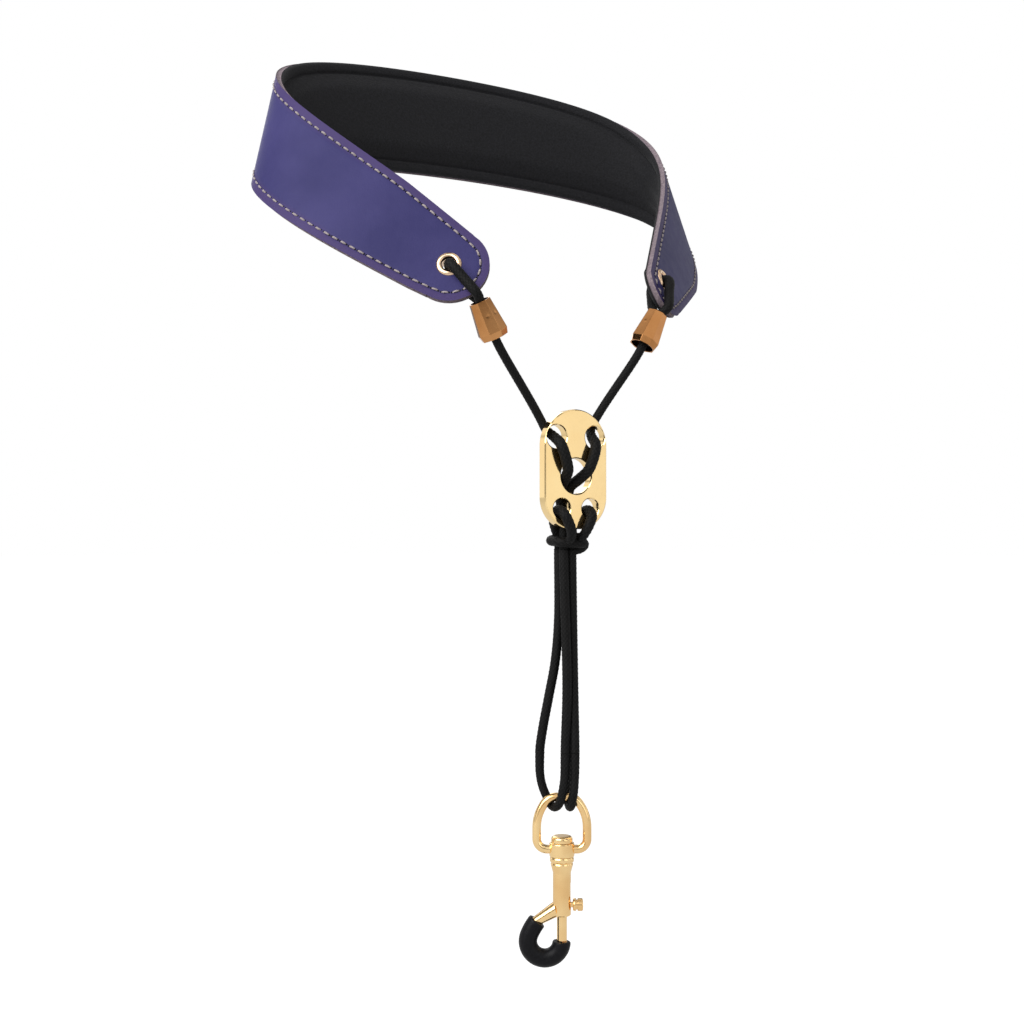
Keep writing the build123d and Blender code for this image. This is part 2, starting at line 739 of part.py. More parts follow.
def make_bolt():
    bolt = ring_solid(BOLT, BOLT_FOOT, BOLT_TOP)
    bolt = chamfer(bolt.edges().group_by(Axis.Z)[0], 0.3)
    socket = Pos(0, 0, KNOB_Z) * Rot(0, 90, 0) * Cylinder(KNOB_STEM, 20)
    write("bolt", hang(bolt - socket))
    stem = Pos(1.8, 0, KNOB_Z) * Rot(0, 90, 0) * Cylinder(KNOB_STEM, 6.4)
    head = Pos(6.35, 0, KNOB_Z) * Rot(0, 90, 0) * Cylinder(KNOB_HEAD, 4.0)
    groove = Pos(5.9, 0, KNOB_Z) * Rot(0, 90, 0) * (Cylinder(3.5, 0.7) - Cylinder(2.0, 0.7))
    head = fillet(head.edges(), 0.6) - groove
    write("thumb_knob", hang(stem + head))
    turns = 6
    height = BORE_TOP - BOLT_TOP - 0.7
    coil = Helix(pitch=height / turns, height=height, radius=1.5)
    spring = sweep(Plane(origin=coil @ 0, z_dir=coil % 0) * Circle(0.25), path=coil)
    write("bolt_spring", hang(Pos(0, 0, BOLT_TOP + 0.35) * spring))


make_band()
make_eyelets()
write("edge_stitching", make_stitching())
for name in EYELETS:
    make_bell(name)
    stopper = make_knot(name)
    write(f"{name}_knot", stopper)
    make_loop(name, stopper)
    make_neck_cord(name, stopper)
make_plate()
wrap = wrap_knot()
write("wrap_knot", wrap)
for name, (side_sign, _, _) in EYELETS.items():
    make_plate_cord(name, side_sign)
    make_tail_cord(name, side_sign, wrap)
make_strands()
make_bights()
make_eye()
make_rivet()
make_hook()
make_bolt()
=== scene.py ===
from bisect import bisect_left
from functools import lru_cache
from math import asin, cos, exp, floor, pi, radians, sin, sqrt

import bpy
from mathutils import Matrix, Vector


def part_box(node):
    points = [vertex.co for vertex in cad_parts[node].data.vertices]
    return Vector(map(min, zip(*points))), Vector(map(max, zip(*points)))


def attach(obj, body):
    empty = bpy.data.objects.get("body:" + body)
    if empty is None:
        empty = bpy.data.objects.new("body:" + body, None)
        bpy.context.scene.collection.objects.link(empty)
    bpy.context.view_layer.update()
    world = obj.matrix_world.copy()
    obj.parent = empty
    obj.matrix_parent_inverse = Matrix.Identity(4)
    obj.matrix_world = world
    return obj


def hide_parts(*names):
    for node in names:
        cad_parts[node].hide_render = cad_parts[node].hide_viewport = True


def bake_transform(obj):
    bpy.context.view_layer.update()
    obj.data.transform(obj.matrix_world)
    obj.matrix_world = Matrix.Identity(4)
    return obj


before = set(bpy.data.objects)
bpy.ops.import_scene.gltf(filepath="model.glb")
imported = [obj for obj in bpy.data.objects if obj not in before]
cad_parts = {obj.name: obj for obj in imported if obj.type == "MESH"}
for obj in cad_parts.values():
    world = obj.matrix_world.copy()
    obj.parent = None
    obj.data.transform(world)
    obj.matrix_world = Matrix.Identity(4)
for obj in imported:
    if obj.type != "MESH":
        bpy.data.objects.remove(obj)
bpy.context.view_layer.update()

# Saxophone neck strap. Lengths below are millimetres and are turned into metres when a
# mesh is made: +Z up, the nape of the neck at +Y, the origin at the slider plate's centre.
MM = 0.001
SIDES = {"left": -1, "right": 1}

# ---------------- driving sizes

# The band is cut from a leaning egg-shaped tube that narrows upwards.
TUBE_LEVEL = 100.0         # height at which the sizes below hold
TUBE_CENTRE_Y = 51.1
TUBE_LEAN = 0.274
TUBE_HALF_WIDTH = 97.7
TUBE_HALF_DEPTH = 60.25
WIDTH_TAPER = 0.195
DEPTH_TAPER = 0.204
EGG = 0.5
EGG_TAPER = -0.00217
TUBE_LOW = 35.0
TUBE_HIGH = 195.0
TOP_EDGE = (136.0, 0.864, 0.001912)        # height, slope and sag towards the nape
BOTTOM_EDGE = (96.4, 0.686, 0.000741)
TIP_SLOPE = 0.89
EYELETS = {"left": (2.229, 77.1), "right": (2.353, 77.8)}      # angle and height on the tube
# Rounded ends, in the tangent plane at the eyelet: centre, radius and flare in degrees.
TONGUES = {"left": (0.4, 0.0, 15.6, 7.0), "right": (2.0, -2.4, 13.0, 12.0)}
PLANE_START = -47.0        # cross lines are flat from here to the tip
BAND_LINES = 62            # cross lines from the nape to there
TONGUE_LINES = 18          # and on to where the tip rounds off
TIP_GUESS = 110.0          # height at which the search for a tongue's points starts
TIP_CORE = 2.5             # the tip's middle is filled by a few wider steps
STEEP = 0.9                # beyond this turn the tip is trimmed by the band's edges

LEATHER = 2.2
PAD = 2.8
PAD_END = 2.12             # tube angle at which the padding has run out
PAD_RUN_OUT = 0.35
LINING_LIFT = 0.05
LINING = 1.0
EDGE_ROUND = 0.45          # rounding of the leather's cut edge
LINING_INSET = 0.6
BAND_HOLE = 3.3            # radius of the holes for the eyelets
HOLE_SIDES = 40
STITCH_LINE = 3.8          # thread row from the leather's edge
STITCH_PITCH = 4.2
STITCH_LENGTH = 2.9
THREAD = 0.42              # thread radius
THREAD_SIDES = 8
STITCH_RINGS = 9
NEEDLE_HOLE = 0.55         # radius of the dark dimple, painted shade of a needle hole, at each end of a stitch
NEEDLE_SIDES = 10
GROOVE = (0.24, 0.55)      # depth and width of the leather's thread groove
WELT = 4.6                 # sewn channel of the lining, from its edge
CHANNEL = (0.95, 0.6)      # its depth and width
LINING_ROLL = 1.6          # radius of the lining's rolled edge
CROWN_RISE = 7.5           # width over which the padding swells up

CORD = 1.7
FULL_CORD = 1.85           # slack cord swells below the plate
BRAID_SIDES = 32
BRAID_STEP = 0.45
BRAID_STRANDS = 8
BRAID_LAY = 1.9            # cord length taken by one crossing
BRAID_RELIEF = 0.26


# ---------------- neck band shape


def smooth(value):
    """Rises smoothly from 0 to 1."""
    value = min(1.0, max(0.0, value))
    return value * value * (3 - 2 * value)


def tube_point(angle, level):
    """Plan position on the leaning tube; angle 0 is the nape."""
    rise = level - TUBE_LEVEL
    egg = 1.0 + (EGG + EGG_TAPER * rise) * cos(angle)
    x = (TUBE_HALF_WIDTH - WIDTH_TAPER * rise) * egg * sin(angle)
    y = TUBE_CENTRE_Y + TUBE_LEAN * rise + (TUBE_HALF_DEPTH - DEPTH_TAPER * rise) * cos(angle)
    return x, y


def surface(angle, level):
    """Point on the ruled tube between its two drawn outlines."""
    low = tube_point(angle, TUBE_LOW)
    high = tube_point(angle, TUBE_HIGH)
    part = (level - TUBE_LOW) / (TUBE_HIGH - TUBE_LOW)
    return Vector((low[0] + (high[0] - low[0]) * part, low[1] + (high[1] - low[1]) * part, level))


@lru_cache(maxsize=None)
def edge_level(edge, angle):
    """Height at which the band's edge crosses the tube at this angle."""
    level = TUBE_LEVEL
    for _ in range(30):
        back = surface(angle, level).y - TUBE_CENTRE_Y
        level = level + 0.6 * (edge[0] + edge[1] * back - edge[2] * back * back - level)
    return level


def inward(angle, level):
    """Unit vector at right angles to the tube, towards the neck."""
    along = surface(angle + 0.001, level) - surface(angle - 0.001, level)
    up = surface(angle, level + 1) - surface(angle, level)
    return along.cross(up).normalized()


def flipped(vector, side):
    """Right-hand vector as it is on this side."""
    return Vector((vector.x * SIDES[side], vector.y, vector.z))


def tongue_frame():
    """For each side, the right-hand-style tangent plane at its eyelet."""
    frames = {}
    for side, (angle, level) in EYELETS.items():
        along = surface(angle + 0.001, level) - surface(angle - 0.001, level)
        up = surface(angle, level + 0.1) - surface(angle, level - 0.1)
        rise = TIP_SLOPE * along.y / (up.z - TIP_SLOPE * up.y)
        forward = (along + up * rise).normalized()
        out = up.cross(along).normalized()
        if out.x < 0:
            out = -out
        upward = out.cross(forward)
        if upward.z < 0:
            upward = -upward
        frames[side] = (surface(angle, level), forward, upward, out)
    return frames


FRAMES = tongue_frame()


def in_plane(side, point):
    """Distance along the tongue and height across it of a point."""
    origin, forward, upward, _ = FRAMES[side]
    return (point - origin).dot(forward), (point - origin).dot(upward)


def on_tube(side, x, y, guess):
    """Tube angle and level of a point given in the tongue's own plane."""
    angle, level = guess
    step = 1e-4
    for _ in range(6):
        here = surface(angle, level)
        px, py = in_plane(side, here)
        ax, ay = in_plane(side, surface(angle + step, level))
        lx, ly = in_plane(side, surface(angle, level + 1))
        ax, ay, lx, ly = (ax - px) / step, (ay - py) / step, lx - px, ly - py
        det = ax * ly - ay * lx
        dx, dy = x - px, y - py
        angle = angle + (dx * ly - dy * lx) / det
        level = level + (ax * dy - ay * dx) / det
    return angle, level


@lru_cache(maxsize=None)
def edge_in_plane(side, edge, x):
    """Tube angle and plane height of the band's edge at a distance along the tongue."""
    low, high = 1.2, 3.0
    for _ in range(28):
        middle = (low + high) / 2
        if in_plane(side, surface(middle, edge_level(edge, middle)))[0] < x:
            low = middle
        else:
            high = middle
    return low, in_plane(side, surface(low, edge_level(edge, low)))[1]


def outline_at(side, x, margin):
    """Lower and upper plane height of the trimmed band, inset by a margin."""
    cx, cy, radius, flare = TONGUES[side]
    turn = radians(flare)
    reach = (radius - margin - sin(turn) * (x - cx)) / cos(turn)
    bottom = edge_in_plane(side, BOTTOM_EDGE, x)[1] + margin
    top = edge_in_plane(side, TOP_EDGE, x)[1] - margin
    return max(bottom, cy - reach), min(top, cy + reach)


def edge_slant(edge, angle):
    """How far across the band one step along its cross line goes, at an edge."""
    ahead = surface(angle + 0.01, edge_level(edge, angle + 0.01))
    behind = surface(angle - 0.01, edge_level(edge, angle - 0.01))
    level = edge_level(edge, angle)
    up = (surface(angle, level + 1) - surface(angle, level)).normalized()
    return up.cross((ahead - behind).normalized()).length


def inset_level(edge, angle, margin):
    """Edge height moved into the band by a margin."""
    level = edge_level(edge, angle)
    rise = (surface(angle, level + 1) - surface(angle, level)).length
    way = 1 if edge is BOTTOM_EDGE else -1
    return level + way * margin / (rise * edge_slant(edge, angle))


def columns(width, steps, middle):
    """Distances across the band: fine steps at both edges and even ones between."""
    first = steps[-1]
    inner = [first + (width - 2 * first) * k / middle for k in range(1, middle)]
    return [*steps, *inner, *(width - step for step in reversed(steps))]


def curved_rows(margin, steps, middle, last, slant):
    """Cross lines from the nape to the flat part, which turn slowly into its direction."""
    rows = []
    for i in range(BAND_LINES):
        part = i / BAND_LINES
        low_angle = part * last - slant * smooth(part)
        high_angle = part * last + slant * smooth(part)
        low = (low_angle, inset_level(BOTTOM_EDGE, low_angle, margin))
        high = (high_angle, inset_level(TOP_EDGE, high_angle, margin))
        width = (surface(*high) - surface(*low)).length * edge_slant(BOTTOM_EDGE, low_angle)
        row = []
        for distance in columns(width, steps, middle):
            t = distance / width
            inside = min(distance, width - distance)
            row.append((low[0] + (high[0] - low[0]) * t, low[1] + (high[1] - low[1]) * t, inside))
        rows.append(row)
    return rows


def tongue_rows(side, margin, steps, middle, guess):
    """Cross lines square to the tongue, up to where its end rounds off."""
    end = TONGUES[side][0]
    rows = []
    for i in range(TONGUE_LINES + 1):
        x = PLANE_START + (end - PLANE_START) * i / TONGUE_LINES
        low, high = outline_at(side, x, margin)
        row = []
        for distance in columns(high - low, steps, middle):
            guess = on_tube(side, x, low + distance, guess)
            row.append((*guess, min(distance, high - low - distance)))
        rows.append(row)
    return rows


def tip_rows(side, margin, steps, middle, guess):
    """Cross lines that bulge more and more until the last one is the tongue's round end."""
    cx, cy, radius, _ = TONGUES[side]
    low, high = outline_at(side, cx, margin)
    rim = radius - margin
    insets = [step for step in steps if step < rim - TIP_CORE]
    insets = insets + [rim - (rim - insets[-1]) * k / 4 for k in (3, 2, 1)]
    rows = []
    for inset in sorted(insets, reverse=True):
        part = 1 - inset / rim
        row = []
        for distance in columns(high - low, steps, middle):
            start_y = low + distance
            turn = asin(max(-1.0, min(1.0, 2 * distance / (high - low) - 1)))
            end_x = cx + rim * cos(turn)
            end_y = cy + rim * sin(turn)
            if abs(turn) > STEEP:
                least, most = outline_at(side, end_x, margin)
                end_y = max(least, min(most, end_y))
            x = cx + (end_x - cx) * part
            y = start_y + (end_y - start_y) * part
            guess = on_tube(side, x, y, guess)
            inside = min(rim - sqrt((x - cx) ** 2 + (y - cy) ** 2), distance, high - low - distance)
            row.append((*guess, max(0.0, inside)))
        rows.append(row)
    return rows


def band_rows(side, margin, steps, middle):
    """Cross lines of half the band, nape to tip, as (angle, level, distance to the edge)."""
    low_end = edge_in_plane(side, BOTTOM_EDGE, PLANE_START)[0]
    high_end = edge_in_plane(side, TOP_EDGE, PLANE_START)[0]
    last, slant = (low_end + high_end) / 2, (high_end - low_end) / 2
    rows = curved_rows(margin, steps, middle, last, slant)
    rows += tongue_rows(side, margin, steps, middle, (last, TIP_GUESS))
    return rows + tip_rows(side, margin, steps, middle, rows[-1][-1][:2])


def whole_band(margin, steps, middle):
    """Cross lines of the whole band, left tip to right tip, as rows of (point, side)."""
    left, right = (
        [[(point, side) for point in row] for row in band_rows(side, margin, steps, middle)]
        for side in ("left", "right")
    )
    return left[::-1] + right[1:]


def placed(entry, depth):
    """World point, in millimetres, of a band entry at a depth under the leather's face."""
    (angle, level, _), side = entry
    return flipped(surface(angle, level) + inward(angle, level) * depth, side)


# ---------------- mesh helpers


def placed_in_scene(name, data):
    """Object with this data, linked to the scene."""
    obj = bpy.data.objects.new(name, data)
    bpy.context.scene.collection.objects.link(obj)
    return obj


def plain_mesh(name, points, faces):
    """Mesh object from millimetre points."""
    mesh = bpy.data.meshes.new(name)
    mesh.from_pydata([Vector(p) * MM for p in points], [], faces)
    return placed_in_scene(name, mesh)


def new_mesh(name, points, faces, finishes, layer=None, face_slots=None):
    """Smooth mesh of the model with its finishes and, if given, one value per point."""
    obj = plain_mesh(name, points, faces)
    mesh = obj.data
    if layer is not None:
        attribute = mesh.attributes.new(layer[0], "FLOAT", "POINT")
        attribute.data.foreach_set("value", layer[1])
    if face_slots is not None:
        mesh.polygons.foreach_set("material_index", face_slots)
    mesh.polygons.foreach_set("use_smooth", [True] * len(mesh.polygons))
    mesh.validate()
    mesh.update()
    for finish in finishes:
        mesh.materials.append(finish)
    return obj


def settle(obj, body, *replaced):
    """Lets a piece ride on a body in place of the CAD pieces it replaces."""
    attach(obj, body)
    if replaced:
        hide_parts(*replaced)


def circle(count):
    """Angles of evenly spaced points round a circle."""
    return [2 * pi * k / count for k in range(count)]


def tube_faces(first, rings, sides):
    """Faces of a closed tube whose rings of points follow each other from the first point."""
    faces = []
    for r in range(rings - 1):
        for m in range(sides):
            a = first + r * sides + m
            b = first + r * sides + (m + 1) % sides
            faces.append((a, b, b + sides, a + sides))
    faces.append(tuple(first + m for m in range(sides))[::-1])
    faces.append(tuple(first + (rings - 1) * sides + m for m in range(sides)))
    return faces


def lengths_along(points):
    """Length of a line from its start to each of its points."""
    lengths = [0.0]
    for before, after in zip(points, points[1:]):
        lengths.append(lengths[-1] + (after - before).length)
    return lengths


def segment_at(lengths, distance):
    """Segment of a line at a distance along it, and how far along that segment."""
    index = max(0, min(bisect_left(lengths, distance), len(lengths) - 1) - 1)
    return index, (distance - lengths[index]) / (lengths[index + 1] - lengths[index])


def border(rows):
    """Grid places round the band's outline, once each, anticlockwise from the lower left."""
    last = len(rows[0]) - 1
    end = len(rows) - 1
    places = [(0, j) for j in range(last + 1)]
    places += [(i, last) for i in range(1, end)]
    places += [(end, j) for j in range(last, -1, -1)]
    places += [(i, 0) for i in range(end - 1, 0, -1)]
    return places


def shell(rows, front_depth, back_depth, profile):
    """Closed sheet: front and back face of the band, joined by a rim profile."""
    wide = len(rows[0])
    points, distances, faces, kinds = [], [], [], []
    for depth in (front_depth, back_depth):
        for row in rows:
            for entry in row:
                points.append(placed(entry, depth(entry)))
                distances.append(entry[0][2])
    back = len(rows) * wide
    for i in range(len(rows) - 1):
        for j in range(wide - 1):
            a = i * wide + j
            faces.append((a, a + wide, a + wide + 1, a + 1))
            faces.append((back + a + 1, back + a + wide + 1, back + a + wide, back + a))
            kinds += [0, 2]
    loop = []
    for i, j in border(rows):
        if not loop or (points[i * wide + j] - points[loop[-1]]).length > 0.02:
            loop.append(i * wide + j)
    if (points[loop[0]] - points[loop[-1]]).length < 0.02:
        loop.pop()
    rings = []
    for k, index in enumerate(loop):
        ahead = points[loop[(k + 1) % len(loop)]] - points[loop[k - 1]]
        through = points[back + index] - points[index]
        outwards = ahead.cross(through.normalized()).normalized()
        ring = [index]
        for reach, part in profile:
            points.append(points[index] + outwards * reach + through * part)
            distances.append(-reach)
            ring.append(len(points) - 1)
        ring.append(back + index)
        rings.append(ring)
    for k, ring in enumerate(rings):
        after = rings[(k + 1) % len(rings)]
        for m in range(len(ring) - 1):
            faces.append((ring[m], ring[m + 1], after[m + 1], after[m]))
            kinds.append(1)
    return points, distances, faces, kinds


def welded(points, distances, faces, kinds):
    """The same mesh with coinciding points joined and collapsed faces dropped."""
    seen, place, kept, values = {}, [], [], []
    for point, value in zip(points, distances):
        key = (round(point.x * 200), round(point.y * 200), round(point.z * 200))
        if key not in seen:
            seen[key] = len(kept)
            kept.append(point)
            values.append(value)
        place.append(seen[key])
    good, good_kinds, used = [], [], set()
    for face, kind in zip(faces, kinds):
        corners = []
        for corner in face:
            if place[corner] not in corners:
                corners.append(place[corner])
        if len(corners) > 2 and frozenset(corners) not in used:
            used.add(frozenset(corners))
            good.append(corners)
            good_kinds.append(kind)
    return kept, values, good, good_kinds


def hole_cutter(side):
    """Cylinder through the band at an eyelet."""
    origin, forward, upward, out = (flipped(v, side) for v in FRAMES[side])
    points = []
    for height in (-9.0, 6.0):
        for turn in circle(HOLE_SIDES):
            spoke = forward * cos(turn) + upward * sin(turn)
            points.append(origin + out * height + spoke * BAND_HOLE)
    return plain_mesh("cutter", points, tube_faces(0, 2, HOLE_SIDES))


def pierced(obj):
    """Cuts the eyelets' holes through a layer of the band."""
    for side in SIDES:
        cutter = hole_cutter(side)
        cut = obj.modifiers.new("hole", "BOOLEAN")
        cut.operation = "DIFFERENCE"
        cut.solver = "EXACT"
        cut.object = cutter
        bpy.context.view_layer.update()
        evaluated = obj.evaluated_get(bpy.context.evaluated_depsgraph_get())
        done = bpy.data.meshes.new_from_object(evaluated)
        obj.modifiers.clear()
        obj.data = done
        bpy.data.objects.remove(cutter)


# ---------------- materials


class Shading:
    """Node tree in the making; an input takes a number, a colour or another node's output."""

    def __init__(self, tree):
        self.nodes = tree.nodes
        self.link = tree.links.new

    def fill(self, node, inputs):
        """Sets or links a node's inputs."""
        for name, value in inputs.items():
            if isinstance(value, bpy.types.NodeSocket):
                self.link(value, node.inputs[name])
            else:
                node.inputs[name].default_value = value
        return node

    def add(self, kind, inputs, **settings):
        """New node with these settings and inputs."""
        node = self.nodes.new("ShaderNode" + kind)
        for name, value in settings.items():
            setattr(node, name, value)
        return self.fill(node, inputs)

    def noise(self, scale, detail, kind="TexNoise", space="Object"):
        """Noise or cell texture in the given coordinates."""
        place = self.add("TexCoord", {}).outputs[space]
        return self.add(kind, {"Scale": scale, "Detail": detail, "Vector": place}).outputs[0]

    def stored(self, name):
        """Value kept on the mesh's points under a name."""
        return self.add("Attribute", {}, attribute_name=name).outputs["Fac"]

    def scaled(self, value, factor, added):
        """Value times a factor plus something."""
        inputs = {0: value, 1: factor, 2: added}
        return self.add("Math", inputs, operation="MULTIPLY_ADD").outputs["Value"]

    def mixed(self, share, off, on):
        """The first value where the share is 0, the second where it is 1."""
        return self.add("Mix", {"Factor": share, 2: off, 3: on}).outputs[0]

    def mapped(self, value, source, target, kind="LINEAR"):
        """Value moved from one range to another."""
        inputs = {
            "Value": value, "From Min": source[0], "From Max": source[1],
            "To Min": target[0], "To Max": target[1],
        }
        return self.add("MapRange", inputs, interpolation_type=kind).outputs["Result"]

    def ramp(self, value, stops):
        """Colour picked by a value from (position, colour) stops."""
        node = self.add("ValToRGB", {"Fac": value})
        band = node.color_ramp
        while len(band.elements) < len(stops):
            band.elements.new(0.5)
        for element, (position, colour) in zip(band.elements, stops):
            element.position = position
            element.color = (*colour, 1)
        return node.outputs["Color"]

    def bumped(self, height, strength, distance, below=None):
        """Surface normal bent by a height, over another bent normal if one is given."""
        inputs = {"Strength": strength, "Distance": distance, "Height": height}
        if below is not None:
            inputs["Normal"] = below
        return self.add("Bump", inputs).outputs["Normal"]


def material(name):
    """New material, its node tree and its shader."""
    made = bpy.data.materials.new(name)
    made.use_nodes = True
    tree = made.node_tree
    return made, Shading(tree), tree.nodes["Principled BSDF"]


LEATHER_BLUE = (0.066, 0.060, 0.185)
LEATHER_DEEP = (0.044, 0.041, 0.140)
LEATHER_PURPLE = (0.092, 0.060, 0.165)


def leather_face():
    """Smooth satin hide: fine grain, soft mottling and a purple margin."""
    made, tree, shader = material("leather_face")
    body = tree.ramp(tree.noise(34.0, 6.0), [(0.3, LEATHER_DEEP), (0.7, LEATHER_BLUE)])
    margin = tree.mapped(tree.stored("edge"), (5.2, 2.2), (0.0, 0.6), "SMOOTHSTEP")
    inputs = {"Factor": margin, 6: body, 7: (*LEATHER_PURPLE, 1)}
    colour = tree.add("Mix", inputs, data_type="RGBA").outputs[2]
    creases = tree.noise(260.0, 8.0)
    pores = tree.noise(1500.0, 3.0, "TexVoronoi")
    tree.fill(shader, {
        "Base Color": colour,
        "Roughness": tree.mapped(creases, (0.0, 1.0), (0.34, 0.50)),
        "Specular IOR Level": 0.07,
        "Normal": tree.bumped(pores, 0.10, 0.0003, tree.bumped(creases, 0.22, 0.0006)),
    })
    return made


def grained(name, stops, scale, detail, strength, distance, inputs):
    """Material whose colour and relief share one fine grain."""
    made, tree, shader = material(name)
    grain = tree.noise(scale, detail)
    tree.fill(shader, {
        "Base Color": tree.ramp(grain, stops), "Normal": tree.bumped(grain, strength, distance),
    })
    tree.fill(shader, inputs)
    return made


def fibre(name, dark, light, scale, rough, relief=0.5, sheen=0.12):
    """Matt fibrous stuff: raw leather, suede backing, microfibre or thread."""
    inputs = {
        "Roughness": rough, "Specular IOR Level": 0.3, "Sheen Weight": sheen, "Sheen Roughness": 0.5,
    }
    return grained(name, [(0.3, dark), (0.72, light)], scale, 8.0, relief, 0.0004, inputs)


def rubber():
    """Matt black rubber with a slightly uneven skin."""
    stops = [(0.3, (0.003, 0.003, 0.004)), (0.8, (0.008, 0.008, 0.010))]
    inputs = {"Roughness": 0.42, "Specular IOR Level": 0.16}
    return grained("sleeve_rubber", stops, 900.0, 4.0, 0.12, 0.0003, inputs)


def braid_with_painted_shade():
    """Black polyester braid with painted shade: darker in the gaps between its strands, lighter on
    their crowns.
    """
    made, tree, shader = material("braid")
    # colour follows the relief: painted shade in the gaps between strands
    stops = [(0.0, (0.001, 0.001, 0.001)), (0.5, (0.005, 0.005, 0.005)), (1.0, (0.015, 0.014, 0.014))]
    tree.fill(shader, {
        "Base Color": tree.ramp(tree.stored("relief"), stops),
        "Normal": tree.bumped(tree.noise(3800.0, 3.0), 0.5, 0.0002),
        "Roughness": 0.6, "Specular IOR Level": 0.14, "Sheen Weight": 0.03, "Sheen Roughness": 0.4,
    })
    return made


def polished(name, colour, dark, rough, wear=0.05, round_edge=0.0002):
    """Plated brass or steel: slight tone drift, faint polishing haze and softened edges."""
    made, tree, shader = material(name)
    haze = tree.noise(620.0, 6.0)
    edge = tree.add("Bevel", {"Radius": round_edge}, samples=4).outputs["Normal"]
    tree.fill(shader, {
        "Base Color": tree.ramp(tree.noise(55.0, 3.0), [(0.25, dark), (0.6, colour)]),
        "Roughness": tree.mapped(haze, (0.0, 1.0), (max(0.02, rough - wear), rough + wear)),
        "Normal": tree.bumped(haze, 0.03, 0.0001, edge),
        "Metallic": 1.0,
    })
    return made


FACE = leather_face()
RAW_EDGE = fibre("leather_edge", (0.16, 0.12, 0.15), (0.36, 0.29, 0.31), 900.0, 0.7, 0.8)
SUEDE = fibre("leather_back", (0.02, 0.02, 0.04), (0.05, 0.045, 0.09), 900.0, 0.9)
MICROFIBRE = fibre(
    "lining_microfibre", (0.003, 0.003, 0.004), (0.013, 0.013, 0.016), 1300.0, 0.8, 0.7, 0.05
)
THREAD_YARN = fibre("thread_yarn", (0.24, 0.20, 0.20), (0.60, 0.53, 0.52), 2600.0, 0.65, 0.6)
# dark fibre for the needle holes: painted shade where the holes are
NEEDLE_HOLE_SHADE = fibre(
    "needle_hole", (0.004, 0.003, 0.010), (0.010, 0.008, 0.022), 900.0, 0.9, 0.5, 0.0
)
BRAID = braid_with_painted_shade()
SLEEVE_RUBBER = rubber()
EYELET_GOLD = polished("eyelet_gold", (0.84, 0.60, 0.40), (0.66, 0.42, 0.25), 0.16)
BELL_BRASS = polished("bell_brass", (0.62, 0.30, 0.115), (0.43, 0.18, 0.055), 0.13, 0.05, 0.00035)
PLATE_GOLD = polished("plate_gold", (0.99, 0.74, 0.37), (0.95, 0.67, 0.31), 0.10, 0.03, 0.0003)
HOOK_GOLD = polished("hook_gold", (0.99, 0.71, 0.35), (0.84, 0.50, 0.20), 0.12)
STEEL = polished("spring_steel", (0.62, 0.62, 0.64), (0.50, 0.50, 0.52), 0.2)


# ---------------- band pieces

# Steps inwards from the band's edge, fine where the surface bends most.
FINE = [0.0, 0.35, 0.9, 1.7, 2.5, 3.0, 3.35, 3.7, 4.1, 4.7, 5.8, 7.6]
SOFT = [0.0, 0.06, 0.25, 0.6, 1.1, 1.9, 2.9, 3.6, 4.1, 4.6, 5.0, 5.6, 6.6, 8.2, 10.2]
SPARSE = [0.0, 1.0, 3.0, 6.0]


def make_leather():
    """Outer hide with a shallow creased channel for the thread and a raw cut edge."""
    rows = whole_band(EDGE_ROUND, FINE, 12)
    line = STITCH_LINE - EDGE_ROUND
    depth, width = GROOVE

    def face(entry):
        return depth * exp(-(((entry[0][2] - line) / width) ** 2))

    profile = [(0.26, 0.025), (0.41, 0.09), (EDGE_ROUND, 0.22)]
    profile += [(reach, 1 - part) for reach, part in reversed(profile)]
    points, distances, faces, kinds = welded(*shell(rows, face, lambda entry: LEATHER, profile))
    layer = ("edge", [distance + EDGE_ROUND for distance in distances])
    finishes = (FACE, RAW_EDGE, SUEDE)
    obj = new_mesh("leather_band", points, faces, finishes, layer, kinds)
    pierced(obj)
    settle(obj, "neck_band", "outer_leather")


def pad_height(angle):
    """Thickness of the padding, which runs out towards the tips."""
    return PAD * smooth((PAD_END - angle) / PAD_RUN_OUT)


def make_lining():
    """Padded microfibre: rolled edge, sewn channel and a crowned middle."""
    rows = whole_band(LINING_INSET, SOFT, 14)
    base = LEATHER + LINING_LIFT

    def face(entry):
        angle, _, inside = entry[0]
        roll = LINING_ROLL * sqrt(max(0.0, 1 - (1 - min(1.0, inside / LINING_ROLL)) ** 2))
        channel = CHANNEL[0] * exp(-(((inside - WELT) / CHANNEL[1]) ** 2))
        crown = pad_height(angle) * smooth((inside - WELT) / CROWN_RISE)
        return base + roll - channel + crown

    points, _, faces, _ = welded(*shell(rows, lambda entry: base, face, []))
    obj = new_mesh("padded_lining", points, faces, [MICROFIBRE])
    pierced(obj)
    settle(obj, "neck_band", "lining", "foam_pad")


def stitch_path():
    """Closed line, in order, that the thread follows inside the band's edge."""
    rows = whole_band(STITCH_LINE, SPARSE, 8)
    line = []
    for i, j in border(rows):
        entry = rows[i][j]
        point = placed(entry, 0.0)
        if not line or (point - line[-1][0]).length > 0.05:
            line.append((point, flipped(-inward(*entry[0][:2]), entry[1])))
    return line


def stitch_guide():
    """Length of the stitch line, and a function that gives its directions at a distance."""
    line = stitch_path()
    line.append(line[0])
    lengths = lengths_along([point for point, _ in line])

    def on_line(distance):
        """Point and outward direction."""
        index, part = segment_at(lengths, distance % lengths[-1])
        (start, start_out), (end, end_out) = line[index], line[index + 1]
        return start.lerp(end, part), start_out.lerp(end_out, part).normalized()

    def guide(distance):
        """Point, and the outward, forward and sideways directions."""
        point, out = on_line(distance)
        ahead = (on_line(distance + 0.2)[0] - on_line(distance - 0.2)[0]).normalized()
        return point, out, ahead, out.cross(ahead)

    return lengths[-1], guide


